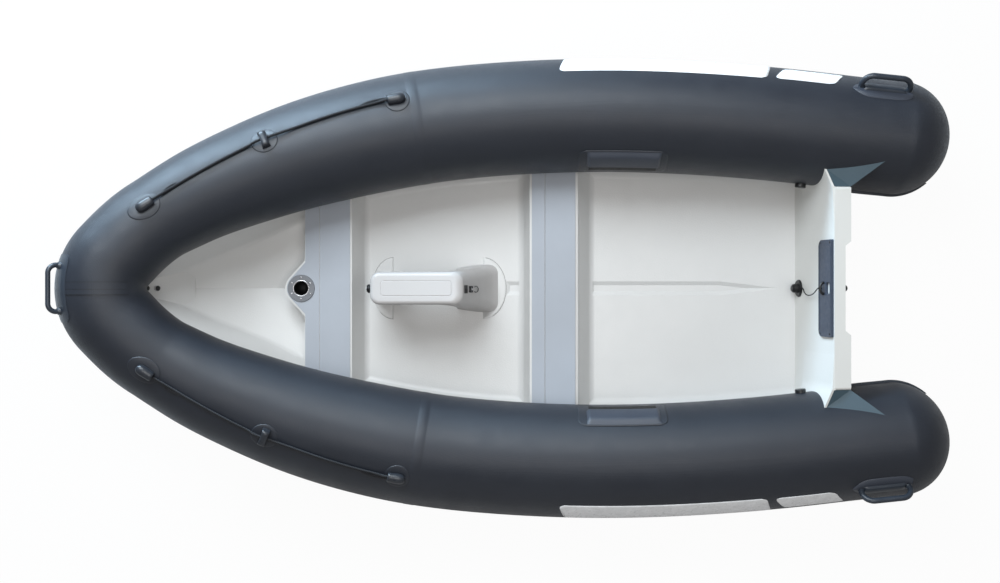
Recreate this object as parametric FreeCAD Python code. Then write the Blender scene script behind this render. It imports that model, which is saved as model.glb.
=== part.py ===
import FreeCAD, Part
import math
import os

# A small rigid inflatable boat in three hull sections, afloat.
# Millimetres. +X is the bow, +Y port, +Z up. The origin is amidships on the waterline.
# Heights below are drawn from the beams' underside datum; save() lifts every piece to its waterline.
# Port pieces are modelled and mirrored to starboard.

Vec = FreeCAD.Vector
X_AXIS = Vec(1, 0, 0)
Y_AXIS = Vec(0, 1, 0)
Z_AXIS = Vec(0, 0, 1)
ORIGIN = Vec(0, 0, 0)
FAR = 2000.0

float_height = 43.0          # the drawing's datum above the waterline, boat empty

# Tubes
tube_radius = 177.0
tube_height = 175.0          # centre line above the datum, aft
nose_radius = 132.0          # tube radius round the nose elbow
nose_bend = 144.0            # centre line radius of the elbow
nose_half_angle = 42.0       # degrees of elbow each side of the centre plane
nose_tilt = 15.1             # degrees that the elbow's plane lifts forward
apex_x = 1104.0              # the elbow's axis, where the tubes' inner sides meet
sheer_start = 40.0           # the tubes rise forward of here
taper_start = 1080.0         # the tubes thicken aft of here
seam_x = 300.0               # seam between the bow and side tubes
cone_x = -1206.0             # seam between the side tube and its rounded end
cone_length = 161.0
tube_line = [
    (1159, 150), (1101, 201), (1033, 245), (968, 283), (848, 340), (666, 411), (480, 465),
    (292, 504.5), (40, 533), (-276, 545), (-592, 535), (-907, 508), (-1080, 488), (cone_x, 475),
]
bow_rings = [1159, 1101, 1033, 968, 900, 820, 740, 660, 570, 480, 390]
side_rings = [200, 40, -120, -276, -434, -592, -750, -907, -1060, -1150]
seat_gap = 0.25              # glue line between a tube and what lies on it
patch_thickness = 1.6

# Hull sections
fore_joint_x = 622.0         # the joint between bow and middle sections
aft_joint_x = -105.0         # the joint between middle and stern sections
floor_z = -5.0
liner = 10.0                 # thickness of a deck tray
beam_top = 90.0
fore_beam = (518.0, 670.0)   # x of the fore beam's aft and fore edges, at its top
aft_beam = (-209.0, -57.0)
mid_floor = (-36.0, 483.0)   # x of the middle tray's floor
stern_floor_front = -258.0
bow_floor_back = 700.0
floor_corner = 25.0
foot_clear = 12.0            # floor edge outboard of the tube's inner side
wall_lean = 0.36
# x, keel height, chine half-breadth, chine height
hull_stations = [
    (-1100, -115, 392, -25), (-907, -115, 414, -18), (-592, -115, 440, -12), (-276, -115, 450, -11),
    (40, -115, 440, -11), (292, -112, 415, -8), (480, -104, 374, 0), (666, -84, 320, 22),
    (850, -42, 250, 66), (1000, 28, 165, 128), (1090, 92, 95, 176), (1140, 146, 46, 208),
    (1176, 208, 8, 236),
]
# x, floor crease height, floor edge half-breadth and height
bow_floor = [
    (600, -22, 262, -2), (700, -24, 226, 8), (850, -6, 152, 34), (1000, 60, 84, 92), (1090, 128, 34, 150),
    (1150, 178, 12, 190),
]
bow_wall_foot_z = 90.0       # the bow tray's front wall leans forward above here
tongue_half_angle = 48.0
tongue_clear = 8.0           # rim of the tongue outside the socket flange
gutter_width = 46.0
gutter_depth = 6.0
gutter_slope = 13.0          # how far its sides slope in
gutter_taper_x = -688.0
gutter_end_x = -884.0
mid_gutter_front = 20.0
keel_strip_width = 26.0
keel_strip_depth = 9.0

# Grey strips on the beams
strip_thickness = 4.0
strip_margin = 6.0
strip_front_margin = 2.0     # at the bow tray's edge
strip_joint_gap = 2.0

# Socket in the fore beam
socket_x = 681.0
socket_bore = 46.0
socket_wall = 3.0
socket_flange = 88.0
socket_flange_thickness = 5.0
socket_depth = 78.0
fit_gap = 0.2

# Transom
transom_foot_x = -936.0
transom_rake = 8.26          # degrees
transom_thickness = 54.0
transom_height = 308.0       # along its slope
transom_end_gap = 16.5       # from its upper end to the tube's inner side
transom_corner = 8.0
ear_out = 54.0               # from the transom's upper end out to the ear's tip
ear_forward = 17.0           # the ear's tip, forward of the transom's face
ear_thickness = 5.0
ear_sweep = 110.0            # radius of the hollow between the ear and the transom's face
ear_foot = 72.0              # the ear's lower end, where the tube meets the deck's side
shoulder_height = 196.0      # the tubes' fabric wedges start here
notch_depth = 18.0
notch_slope = 14.0           # how far the recess's sides slope in
notch_half = 144.0
notch_bottom = 118.0
pad_half = 150.0
pad_bottom = 205.0
pad_top = 303.0
pad_thickness = 8.0
pad_hole_width = 37.0
pad_hole_bottom = 262.0
pad_hole_top = 290.0
eye_radius = 17.0            # half the distance between its legs
eye_rod = 4.0
eye_height = 248.0
eye_leg = 5.0
eye_bow = 7.5                # rise of the eye's bend over its legs
knob_height = 280.0
knob_radius = 11.0
drain_height = 30.0
drain_bush_radius = 17.0
drain_bush_bore = 14.0
drain_flange_radius = 25.0
drain_flange_thickness = 5.0
plug_disc_radius = 28.0
plug_disc_thickness = 6.0
plug_stub_radius = 15.0
plug_stub_length = 20.0
plug_shank_length = 22.0
plug_lug_width = 8.0
plug_lug_top = 61.0          # height of the lug that the lanyard is fixed to
lanyard_radius = 1.75
lanyard_ring_radius = 6.5
lanyard_ring_width = 5.0
lanyard_ring_flat = 6.2      # the cord's seat under the ring, below the ring's axis

# Towing eye through the stem
bow_eye_x = 1130.0           # on the bow tray's front wall, midway between the legs
bow_eye_z = 217.0
bow_eye_dip = 40.0           # degrees that it points down forward, square to that wall
bow_eye_half = 19.0
bow_eye_rod = 4.0
bow_eye_reach = 60.0
bow_eye_nut = 9.0
bow_eye_nut_radius = 8.5

gusset_tail = 92.0           # how far the fabric wedge runs aft of the transom
gusset_tail_out = 75.0       # its tail's tip, outboard of the transom's upper end
gusset_drop = 4.0            # its upper corners, below the transom's top

# Centre pod
pod_top_z = 275.0
pod_top_x = (148.0, 441.0)
pod_foot_x = (62.0, 452.0)
pod_top_half = 55.0
pod_foot_half = 71.0
pod_arch_x = (180.0, 372.0)
pod_arch_top = 150.0
pod_flange_half = 101.0
pod_flange_thickness = 6.0
pod_fore_flange_length = 66.0
pod_aft_flange_length = 76.0
pod_recess_depth = 3.0
pod_recess_x = (190.0, 409.0)
pod_recess_half = 26.0
pod_corner = 20.0
pod_rim = 12.0

# Fittings on the tubes
rope_radius = 4.0
rope_height = 13.0           # rope's axis above the tube at a holder
rope_rest = 1.0              # clearance under the rope between holders
rope_end = 14.0              # how far the rope runs past the middle of an end holder
holder_patch_radius = 37.0
holder_radius = 13.0
holder_half = 12.0           # half the length of a bullet's barrel
holder_height = 24.0
holder_places = [(1076, 11.0, "fore"), (730, 18.5, "middle"), (338, 25.0, "aft")]
strake_width = 20.0
strake_height = 5.0
bead_width = 11.0            # the strake's raised bead
bead_height = 9.0
strake_angle = -100.0
strake_front = -1040.0
strake_length = 330.0
strake_wrap = 46.0           # how far the strake follows the tube's end round inward
handle_rod = 8.0
handle_stand = 34.0
stern_handle_x = -1150.0
stern_handle_angle = 53.0
stern_handle_length = 150.0
bow_handle_angle = 68.0
bow_handle_spread = 14.5     # degrees round the nose to each foot
bow_handle_stand = 37.0
bow_handle_rod = 7.5
bow_patch_length = 204.0     # of the bow handle's patch, round the nose
bow_patch_width = 96.0
handle_pad_radius = 22.0
handle_pad_height = 9.0
valve_x = -928.0
valve_angle = -90.0
valve_radius = 17.0
valve_height = 12.0
pocket_x = -340.0
pocket_length = 240.0
pocket_width = 96.0
pocket_angle = -50.0
pocket_height = 18.0
pocket_slot = 9.0
pocket_wall = 12.0


def box(x0, x1, y0, y1, z0, z1):
    return Part.makeBox(x1 - x0, y1 - y0, z1 - z0, Vec(x0, y0, z0))


def mirrored(shape):
    return shape.mirror(ORIGIN, Y_AXIS)


def fused(shapes):
    joined = shapes[0].multiFuse(shapes[1:]) if len(shapes) > 1 else shapes[0]
    return joined.removeSplitter()


def save(shape, name):
    """Lifts a piece to its height above the waterline and exports it."""
    solids = shape.Solids
    kept = solids[0].copy() if len(solids) == 1 else Part.makeCompound(solids)
    kept.translate(Vec(0, 0, float_height))
    print("%-26s solids %d valid %s volume %.0f" % (name, len(solids), kept.isValid(), kept.Volume))
    kept.exportStep("parts/%s.step" % name)
    return kept


def save_pair(shape, name):
    save(shape, name + "_port")
    save(mirrored(shape), name + "_starboard")


# Wires

def rounded_edges(points, radii, closed):
    """Straight runs joined by tangent arcs. A radius of 0 keeps the corner."""
    count = len(points)
    starts = [Vec(p) for p in points]
    ends = [Vec(p) for p in points]
    arcs = {}
    for i in range(count):
        if (not closed and i in (0, count - 1)) or radii[i] <= 0:
            continue
        corner = points[i]
        back = (points[i - 1] - corner).normalize()
        ahead = (points[(i + 1) % count] - corner).normalize()
        half_turn = (math.pi - back.getAngle(ahead)) / 2
        reach = radii[i] * math.tan(half_turn)
        ends[i] = corner + back * reach
        starts[i] = corner + ahead * reach
        inward = (back + ahead).normalize()
        middle = corner + inward * (radii[i] / math.cos(half_turn) - radii[i])
        arcs[i] = Part.Arc(ends[i], middle, starts[i]).toShape()
    edges = []
    for i in range(count if closed else count - 1):
        j = (i + 1) % count
        if i in arcs and (closed or i > 0):
            edges.append(arcs[i])
        if (ends[j] - starts[i]).Length > 1e-6:
            edges.append(Part.makeLine(starts[i], ends[j]))
    return edges


def outline_wire(points, radii):
    return Part.Wire(Part.__sortEdges__(rounded_edges(points, radii, True)))


def offset_outline(points, distance):
    """Moves every side of a convex outline, given as (a, b) pairs turning left, out by a distance."""
    moved = []
    count = len(points)
    for i in range(count):
        lines = []
        for a, b in ((points[i - 1], points[i]), (points[i], points[(i + 1) % count])):
            run = math.hypot(b[0] - a[0], b[1] - a[1])
            normal = ((b[1] - a[1]) / run, -(b[0] - a[0]) / run)
            lines.append((normal, normal[0] * b[0] + normal[1] * b[1] + distance))
        (n0, c0), (n1, c1) = lines
        det = n0[0] * n1[1] - n0[1] * n1[0]
        moved.append(((c0 * n1[1] - c1 * n0[1]) / det, (n0[0] * c1 - n1[0] * c0) / det))
    return moved


def side_prism(outline, radii, half_width):
    """A profile in the XZ plane, drawn out to both sides."""
    wire = outline_wire([Vec(a, -half_width, b) for a, b in outline], radii)
    return Part.Face(wire).extrude(Vec(0, 2 * half_width, 0))


def plan_prism(outline, radii, z0, z1):
    wire = outline_wire([Vec(a, b, z0) for a, b in outline], radii)
    return Part.Face(wire).extrude(Vec(0, 0, z1 - z0))


# Tubes

def tilt_vector(forward, port, up):
    """A direction in the nose elbow's tilted plane."""
    lift = math.radians(nose_tilt)
    return Vec(
        forward * math.cos(lift) - up * math.sin(lift), port, forward * math.sin(lift) + up * math.cos(lift)
    )


elbow_end_x = apex_x + nose_bend * math.cos(math.radians(nose_half_angle)) * math.cos(math.radians(nose_tilt))
sheer_rate = math.tan(math.radians(nose_tilt)) / 2 / (elbow_end_x - sheer_start)


def tube_z(x):
    return tube_height + sheer_rate * max(0.0, x - sheer_start) ** 2


apex_z = tube_z(elbow_end_x) - (elbow_end_x - apex_x) * math.tan(math.radians(nose_tilt))
apex = Vec(apex_x, 0, apex_z)
elbow_axis = tilt_vector(0, 0, 1)


def tube_r(x):
    part_way = min(1.0, max(0.0, (taper_start - x) / (taper_start - seam_x)))
    fullness = math.sin(math.pi / 2 * part_way)
    return nose_radius + (tube_radius - nose_radius) * fullness


def elbow_point(degrees):
    turn = math.radians(degrees)
    return apex + tilt_vector(math.cos(turn), math.sin(turn), 0) * nose_bend


def tube_curve():
    points = [elbow_point(nose_half_angle)]
    points += [Vec(x, y, tube_z(x)) for x, y in tube_line]
    turn = math.radians(nose_half_angle)
    start = tilt_vector(-math.sin(turn), math.cos(turn), 0)
    curve = Part.BSplineCurve()
    curve.interpolate(Points=points, InitialTangent=start, FinalTangent=Vec(-1, -0.1, 0))
    return curve


centre_line = tube_curve()


def station(x):
    """The tube's centre, its aft, outboard and upward directions and its radius where its line passes x."""
    low, high = centre_line.FirstParameter, centre_line.LastParameter
    for _ in range(50):
        middle = (low + high) / 2
        if centre_line.value(middle).x > x:
            low = middle
        else:
            high = middle
    aft = centre_line.tangent(low)[0].normalize()
    outboard = Z_AXIS.cross(aft) * -1
    outboard.normalize()
    up = aft.cross(outboard) * -1
    return centre_line.value(low), aft, outboard, up.normalize(), tube_r(x)


def ring(x, offset):
    centre, aft, outboard, up, radius = station(x)
    turn = FreeCAD.Rotation(up * -1, outboard, aft * -1, "ZXY")
    circle = Part.makeCircle(radius + offset)
    circle.Placement = FreeCAD.Placement(centre, turn)
    return Part.Wire(circle)


def elbow(offset, half_angle):
    """The nose elbow from the centre plane to port."""
    centre = elbow_point(0)
    circle = Part.makeCircle(nose_radius + offset, centre, Y_AXIS)
    return Part.Face(Part.Wire(circle)).revolve(apex, elbow_axis, half_angle)


def bow_tube(offset):
    rings = [ring(elbow_end_x, offset)] + [ring(x, offset) for x in bow_rings] + [ring(seam_x, offset)]
    return fused([elbow(offset, nose_half_angle), Part.makeLoft(rings, True, False)])


def side_tube(offset):
    rings = [ring(x, offset) for x in [seam_x] + side_rings + [cone_x]]
    return Part.makeLoft(rings, True, False)


def cone(offset):
    """The tube's rounded end, half an ellipsoid."""
    centre, aft, outboard, up, radius = station(cone_x)
    reach = cone_length + offset
    girth = radius + offset
    whole = Part.Ellipse(ORIGIN, girth, reach) if girth > reach else Part.Ellipse(ORIGIN, reach, girth)
    long_axis = up if girth > reach else aft
    frame = FreeCAD.Rotation(long_axis, up if long_axis is aft else aft * -1, Vec(), "XYZ")
    quarter = Part.Edge(whole).copy()
    quarter.Placement = FreeCAD.Placement(centre, frame)
    disc = Part.Face(Part.Wire(quarter))
    wedge_points = [centre, centre + aft * FAR, centre + aft * FAR + up * FAR, centre + up * FAR]
    wedge = Part.Face(Part.makePolygon(wedge_points + wedge_points[:1]))
    return disc.common(wedge).Faces[0].revolve(centre, aft, 360)


def tube_top(x, y):
    """Height of the tube's skin over a point inboard of its centre line."""
    centre, aft, outboard, up, radius = station(x)
    inboard = (centre.y - y) * outboard.y
    return centre.z + math.sqrt(radius ** 2 - inboard ** 2)


def tube_pieces(offset):
    return bow_tube(offset), side_tube(offset), cone(offset)


def surface_point(x, degrees, height):
    """A point above the tube's skin, and the outward and aft directions there. Degrees run outboard from the top."""
    centre, aft, outboard, up, radius = station(x)
    turn = math.radians(degrees)
    outward = up * math.cos(turn) + outboard * math.sin(turn)
    return centre + outward * (radius + height), outward, aft


def short_tube(x, length, offset):
    """A stretch of the tube, grown by an offset, for shaping what lies on it."""
    front = x + length / 2
    back = max(x - length / 2, cone_x)
    rings = [ring(front + (back - front) * k / 4, offset) for k in range(5)]
    stretch = Part.makeLoft(rings, True, False)
    return fused([stretch, cone(offset)]) if back == cone_x else stretch


def placed(shape, x, degrees, height):
    """Stands a shape on the tube: its +Z outward, its +X forward along the tube."""
    point, outward, aft = surface_point(x, degrees, height)
    forward = aft * -1
    turn = FreeCAD.Rotation(forward, outward.cross(forward), outward, "ZXY")
    moved = shape.copy()
    moved.Placement = FreeCAD.Placement(point, turn).multiply(moved.Placement)
    return moved


def patch(shape, x, degrees, length, thickness):
    """The skin-thick part of a shape that lies on the tube."""
    cutter = placed(shape, x, degrees, 0)
    return cutter.common(short_tube(x, length, seat_gap + thickness)).cut(skin)


port_bow, port_side, port_cone = tube_pieces(0.0)
skin = fused(list(tube_pieces(seat_gap)))
starboard_skin = mirrored(skin)
transom_top_half = station(transom_foot_x)[0].y - station(transom_foot_x)[4] - transom_end_gap


def clear_of_tubes(shape):
    return shape.cut(skin).cut(starboard_skin)


# Hull

def hull_body():
    wires = []
    for x, keel_z, chine_y, chine_z in hull_stations:
        inside = min(x, elbow_end_x)
        top_z = tube_z(inside) - 0.5 * tube_r(inside)
        top_y = chine_y + 15
        points = [
            Vec(x, 0, keel_z), Vec(x, chine_y, chine_z), Vec(x, top_y, top_z),
            Vec(x, -top_y, top_z), Vec(x, -chine_y, chine_z),
        ]
        wires.append(Part.makePolygon(points + points[:1]))
    return Part.makeLoft(wires, True, False)


def flat_section(x):
    """The cockpit's section over a flat floor, as (y, z) pairs."""
    centre, aft, outboard, up, radius = station(x)
    foot_y = centre.y - radius + foot_clear
    head_z = centre.z - 0.2 * radius
    head_y = foot_y + wall_lean * (head_z - floor_z)
    return [(-head_y, head_z), (-foot_y, floor_z), (foot_y, floor_z), (head_y, head_z)]


def bow_section(x, crease_z, edge_y, edge_z):
    inside = min(x, 1120.0)
    centre, aft, outboard, up, radius = station(inside)
    head_z = centre.z - 0.2 * radius
    head_y = edge_y + wall_lean * (head_z - edge_z)
    return [(-head_y, head_z), (-edge_y, edge_z), (0, crease_z), (edge_y, edge_z), (head_y, head_z)]


def channel(sections, offset):
    """The cockpit hollow as a loft of sections, grown by an offset."""
    wires = []
    for x, section in sections:
        grown = offset_outline(section, offset)
        points = [Vec(x, y, z) for y, z in grown]
        corner = floor_corner + offset
        radii = [0, corner, corner, 0] if len(points) == 4 else [0, corner, 0, corner, 0]
        wires.append(outline_wire(points, radii))
    return Part.makeLoft(wires, True, False)


def bow_channel(offset):
    return channel([(x, bow_section(x, crease, y, z)) for x, crease, y, z in bow_floor], offset)


def mid_channel(offset):
    return channel([(x, flat_section(x)) for x in (700, 620, 480, 292, 120, -50, -160)], offset)


def stern_channel(offset):
    return channel([(x, flat_section(x)) for x in (-50, -180, -350, -592, -760, -907, -1050)], offset)


def tray_prism(foot_back, head_back, foot_front, head_front, foot_z, offset):
    high = FAR / 4
    outline = [(foot_back, foot_z), (foot_front, foot_z), (head_front, beam_top), (head_front, high),
               (head_back, high), (head_back, beam_top)]
    corner = floor_corner + offset
    return side_prism(offset_outline(outline, offset), [corner, corner, 0, 0, 0, 0], FAR / 2)


def tongue(grow):
    """The fore beam's pointed tongue, rounded about the socket."""
    tip_radius = socket_flange / 2 + tongue_clear + grow
    lean = math.radians(tongue_half_angle)
    tip_x = socket_x + tip_radius / math.sin(lean)
    root_x = fore_beam[1] - 20
    root_y = (tip_x - root_x) * math.tan(lean)
    return plan_prism([(root_x, -root_y), (tip_x, 0), (root_x, root_y)], [0, tip_radius, 0], -150, beam_top)


def bow_well(offset):
    low = -200.0
    high = 400.0
    lean = math.tan(math.radians(bow_eye_dip))
    wall_foot = bow_eye_x - (bow_eye_z - bow_wall_foot_z) * lean
    wall_head = bow_eye_x + (high - bow_eye_z) * lean
    outline = [(bow_floor_back, low), (wall_foot, low), (wall_foot, bow_wall_foot_z), (wall_head, high),
               (fore_beam[1], high), (fore_beam[1], beam_top)]
    prism = side_prism(offset_outline(outline, offset), [0, 0, 0, 0, 0, 0], FAR / 2)
    return bow_channel(offset).common(prism).cut(tongue(-offset))


def mid_well(offset):
    prism = tray_prism(mid_floor[0], aft_beam[1], mid_floor[1], fore_beam[0], floor_z, offset)
    return mid_channel(offset).common(prism)


def transom_face(inner):
    """A large block that lies aft of the transom's inner or outer face."""
    block = box(-FAR, 0.0 if inner else -transom_thickness, -FAR, FAR, -FAR, FAR)
    return on_transom(block)


def on_transom(shape):
    """Carries a shape from upright to the raked transom: +X off its inner face, +Z up its slope."""
    moved = shape.copy()
    rake = FreeCAD.Placement(Vec(transom_foot_x, 0, 0), FreeCAD.Rotation(Y_AXIS, -transom_rake))
    moved.Placement = rake.multiply(moved.Placement)
    return moved


def stern_well(offset):
    prism = tray_prism(-FAR, -FAR - 50, stern_floor_front, aft_beam[0], floor_z, offset)
    return stern_channel(offset).common(prism)


def gutter():
    half = gutter_width / 2
    front = stern_floor_front + 1
    return sunk_prism([(gutter_end_x, 0), (gutter_taper_x, -half), (front, -half), (front, half), (gutter_taper_x, half)])


def mid_gutter():
    half = gutter_width / 2
    back = mid_floor[0] - 4
    return sunk_prism([(back, -half), (mid_gutter_front, -half), (mid_gutter_front, half), (back, half)])


def sunk_prism(rim):
    """A hollow in the floor, its sides sloping in towards its bottom."""
    levels = [(-gutter_slope, floor_z - gutter_depth), (gutter_slope / gutter_depth, floor_z + 1)]
    wires = []
    for offset, z in levels:
        points = [Vec(a, b, z) for a, b in offset_outline(rim, offset)]
        wires.append(Part.makePolygon(points + points[:1]))
    return Part.makeLoft(wires, True, True)


def slab(x0, x1):
    return box(x0, x1, -FAR, FAR, -FAR, FAR)


def over_beam(hollow, x0, x1):
    return hollow.common(box(x0, x1, -FAR, FAR, beam_top, FAR))


whole_hull = hull_body()
bow_air = over_beam(bow_channel(0), fore_joint_x - 10, fore_beam[1] + 80)
mid_air = over_beam(mid_channel(0), aft_joint_x - 10, fore_joint_x + 10)
stern_air = over_beam(stern_channel(0), aft_beam[0] - 10, aft_joint_x + 10)


def bow_eye_frame():
    """The towing eye's middle, its outward direction and the direction from leg to leg."""
    dip = math.radians(bow_eye_dip)
    outward = Vec(math.cos(dip), 0, -math.sin(dip))
    return Vec(bow_eye_x, 0, bow_eye_z), outward, Vec(math.sin(dip), 0, math.cos(dip))


def bow_eye_legs(radius, inner, outer):
    middle, outward, along = bow_eye_frame()
    feet = [middle + along * (side * bow_eye_half) + outward * inner for side in (-1, 1)]
    return [Part.makeCylinder(radius, outer - inner, foot, outward) for foot in feet]


def bow_eye_holes():
    return Part.makeCompound(bow_eye_legs(bow_eye_rod + fit_gap, -20, 120))


def make_hull():
    body = clear_of_tubes(whole_hull)
    bow = body.common(slab(fore_joint_x, FAR)).cut(bow_well(liner)).cut(bow_air)
    mid = body.common(slab(aft_joint_x, fore_joint_x)).cut(mid_well(liner)).cut(mid_air)
    stern = body.common(slab(-FAR, aft_joint_x)).cut(transom_face(True)).cut(stern_well(liner)).cut(stern_air)
    bow = bow.cut(socket_hole()).cut(bow_eye_holes())
    return bow, mid, stern


def make_decks():
    bow = clear_of_tubes(bow_well(liner)).common(whole_hull).cut(bow_well(0)).cut(bow_air)
    bow = bow.cut(socket_hole()).cut(bow_eye_holes())
    mid = clear_of_tubes(mid_well(liner)).common(whole_hull).cut(mid_well(0)).cut(mid_air).cut(mid_gutter())
    stern = clear_of_tubes(stern_well(liner)).common(whole_hull).cut(transom_face(True))
    stern = stern.cut(stern_well(0)).cut(stern_air).cut(gutter())
    return bow, mid, stern


def socket_hole():
    radius = socket_bore / 2 + socket_wall + fit_gap
    return Part.makeCylinder(radius, socket_depth, Vec(socket_x, 0, beam_top - socket_depth))


# Strips and socket

def strip_half(x):
    centre, aft, outboard, up, radius = station(x)
    z = beam_top + strip_thickness
    tube_side = centre.y - math.sqrt(radius ** 2 - (centre.z - z) ** 2) / outboard.y
    foot_y = centre.y - radius + foot_clear
    wall = foot_y + wall_lean * (beam_top - floor_z)
    return min(tube_side, wall) - strip_margin


def strip(x_aft, x_fore):
    outline = [(x_aft, -strip_half(x_aft)), (x_fore, -strip_half(x_fore)),
               (x_fore, strip_half(x_fore)), (x_aft, strip_half(x_aft))]
    return plan_prism(outline, [4, 4, 4, 4], beam_top, beam_top + strip_thickness)


def make_strips():
    gap = strip_joint_gap / 2
    fore_front = strip(fore_joint_x + gap, fore_beam[1] - strip_front_margin)
    lug = tongue(-strip_margin).common(box(fore_beam[1] - 15, FAR, -FAR, FAR, -FAR, FAR))
    lug.translate(Vec(0, 0, strip_thickness))
    lug = lug.common(box(0, FAR, -FAR, FAR, beam_top, beam_top + strip_thickness))
    fore_front = fused([fore_front, lug]).common(bow_channel(-strip_margin)).cut(socket_hole_above())
    return {
        "strip_fore_front": fore_front,
        "strip_fore_back": strip(fore_beam[0] + strip_margin, fore_joint_x - gap),
        "strip_aft_front": strip(aft_joint_x + gap, aft_beam[1] - strip_margin),
        "strip_aft_back": strip(aft_beam[0] + strip_margin, aft_joint_x - gap),
    }


def socket_hole_above():
    radius = socket_bore / 2 + socket_wall + fit_gap
    return Part.makeCylinder(radius, 50, Vec(socket_x, 0, beam_top - 5))


def make_socket():
    """A flanged cup, closed at the bottom, that takes a pole."""
    outer = socket_bore / 2 + socket_wall
    bottom = beam_top - socket_depth + fit_gap
    top = beam_top + strip_thickness
    points = [
        Vec(0, 0, bottom), Vec(outer, 0, bottom), Vec(outer, 0, top), Vec(socket_flange / 2, 0, top),
        Vec(socket_flange / 2 - 1.5, 0, top + socket_flange_thickness),
        Vec(socket_bore / 2 + 1.5, 0, top + socket_flange_thickness),
        Vec(socket_bore / 2, 0, top + socket_flange_thickness - 1.5),
        Vec(socket_bore / 2, 0, bottom + socket_wall), Vec(0, 0, bottom + socket_wall),
    ]
    cup = Part.Face(Part.makePolygon(points + points[:1])).revolve(ORIGIN, Z_AXIS, 360)
    cup.translate(Vec(socket_x, 0, 0))
    return cup


# Transom

def make_transom():
    high = transom_height
    top = transom_top_half
    wide = top + 122
    outline = [(-wide, -60), (wide, -60), (wide, shoulder_height - 46), (top, shoulder_height), (top, high),
               (-top, high), (-top, shoulder_height), (-wide, shoulder_height - 46)]
    wire = outline_wire([Vec(0, a, b) for a, b in outline], [0] * 4 + [transom_corner] * 2 + [0] * 2)
    upper = Part.Face(wire).extrude(Vec(-transom_thickness, 0, 0))
    upper = upper.common(box(-FAR, FAR, -FAR, FAR, 40, FAR))
    slab_shape = on_transom(box(-transom_thickness, 0, -FAR, FAR, -FAR, FAR))
    lower = whole_hull.common(slab_shape)
    ears = [on_transom(shape) for shape in (transom_ear(), mirrored(transom_ear()))]
    body = fused([on_transom(upper), lower] + ears)
    body = clear_of_tubes(body.cut(on_transom(recess_block())))
    return body.cut(on_transom(drain_hole()))


def on_skin(stand, y):
    """Where a line up the transom's slope meets the port tube: stand-off from its inner face, y and height."""
    height = transom_height
    for _ in range(20):
        x = on_transom(Part.Vertex(stand, y, height)).Point.x
        rake = math.radians(transom_rake)
        height = (tube_top(x, y) - stand * math.sin(rake)) / math.cos(rake)
    return stand, y, height


def transom_ear():
    """The flange that sweeps forward from the transom along the port tube, up to a pointed tip."""
    top = transom_top_half
    stand, tip_y, tip_height = on_skin(ear_forward, top + ear_out)
    slope = ear_forward / ear_out
    beyond = 80.0
    root = top - 2 * ear_out
    knee = (ear_thickness, top - ear_thickness / slope / 2)
    plan = [(-1, root), (0.2, root), knee, (stand + ear_thickness + slope * beyond, tip_y + beyond),
            (stand + slope * beyond, tip_y + beyond), (0, top), (-ear_thickness, top - 1)]
    flange = plan_prism(plan, [0, 0, ear_sweep, 0, 0, 0, 0], ear_foot, FAR)
    fall = (transom_height - 1 - tip_height) / ear_out
    lid = [(root - 1, 0), (tip_y + beyond, 0), (tip_y + beyond, tip_height - fall * beyond),
           (top, transom_height - 1), (root - 1, transom_height - 1)]
    wire = outline_wire([Vec(-40, a, b) for a, b in lid], [0] * 5)
    return flange.common(Part.Face(wire).extrude(Vec(200, 0, 0)))


def recess_block():
    """What the outer face's recess takes away, its sides and bottom sloping in."""
    wires = []
    for depth, inset in ((-1.0, -notch_slope / notch_depth), (notch_depth, notch_slope)):
        half = notch_half - inset
        outline = [(-half, notch_bottom + inset), (half, notch_bottom + inset), (half, FAR), (-half, FAR)]
        points = [Vec(depth - transom_thickness, a, b) for a, b in outline]
        wires.append(outline_wire(points, [30, 30, 0, 0]))
    return Part.makeLoft(wires, True, True)


def drain_hole():
    start = Vec(-transom_thickness - 20, 0, drain_height)
    return Part.makeCylinder(drain_bush_radius + fit_gap, transom_thickness + 40, start, X_AXIS)


def make_motor_pad():
    outline = [(-pad_half, pad_bottom), (pad_half, pad_bottom), (pad_half, pad_top), (-pad_half, pad_top)]
    wire = outline_wire([Vec(0, a, b) for a, b in outline], [22, 22, 5, 5])
    plate = Part.Face(wire).extrude(Vec(pad_thickness, 0, 0))
    half = pad_hole_width / 2
    hole = [(-half, pad_hole_bottom), (half, pad_hole_bottom), (half, pad_hole_top), (-half, pad_hole_top)]
    wire = outline_wire([Vec(-5, a, b) for a, b in hole], [8, 8, 8, 8])
    return on_transom(plate.cut(Part.Face(wire).extrude(Vec(pad_thickness + 10, 0, 0))))


def make_transom_eye():
    """A half ring on two short legs, standing off the motor pad."""
    root = Vec(pad_thickness, 0, eye_height)
    left = root + Vec(0, -eye_radius, 0)
    right = root + Vec(0, eye_radius, 0)
    reach = Vec(eye_leg, 0, 0)
    arc = Part.Arc(left + reach, Vec(eye_peak(), 0, eye_height), right + reach).toShape()
    legs = [Part.makeCylinder(eye_rod, eye_leg, foot, X_AXIS) for foot in (left, right)]
    tangent = arc.tangentAt(arc.FirstParameter)
    ring_face = Part.Wire(Part.makeCircle(eye_rod, left + reach, tangent))
    bend = Part.Wire(arc).makePipeShell([ring_face], True, False)
    balls = [Part.makeSphere(eye_rod, foot + reach) for foot in (left, right)]
    return on_transom(fused([bend] + legs + balls))


def make_knob():
    root = Vec(-transom_thickness + notch_depth, 0, knob_height)
    shank = Part.makeCylinder(knob_radius, 7, root, X_AXIS * -1)
    dome = Part.makeSphere(knob_radius, root + Vec(-7, 0, 0))
    dome = dome.common(box(-FAR, root.x, -FAR, FAR, -FAR, FAR))
    return on_transom(fused([shank, dome]))


def turned(points, height):
    """A turned piece about the drain's axis, from (length, radius) pairs."""
    outline = [Vec(a, 0, height + b) for a, b in points]
    face = Part.Face(Part.makePolygon(outline + outline[:1]))
    return on_transom(face.revolve(Vec(0, 0, height), X_AXIS, 360))


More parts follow.
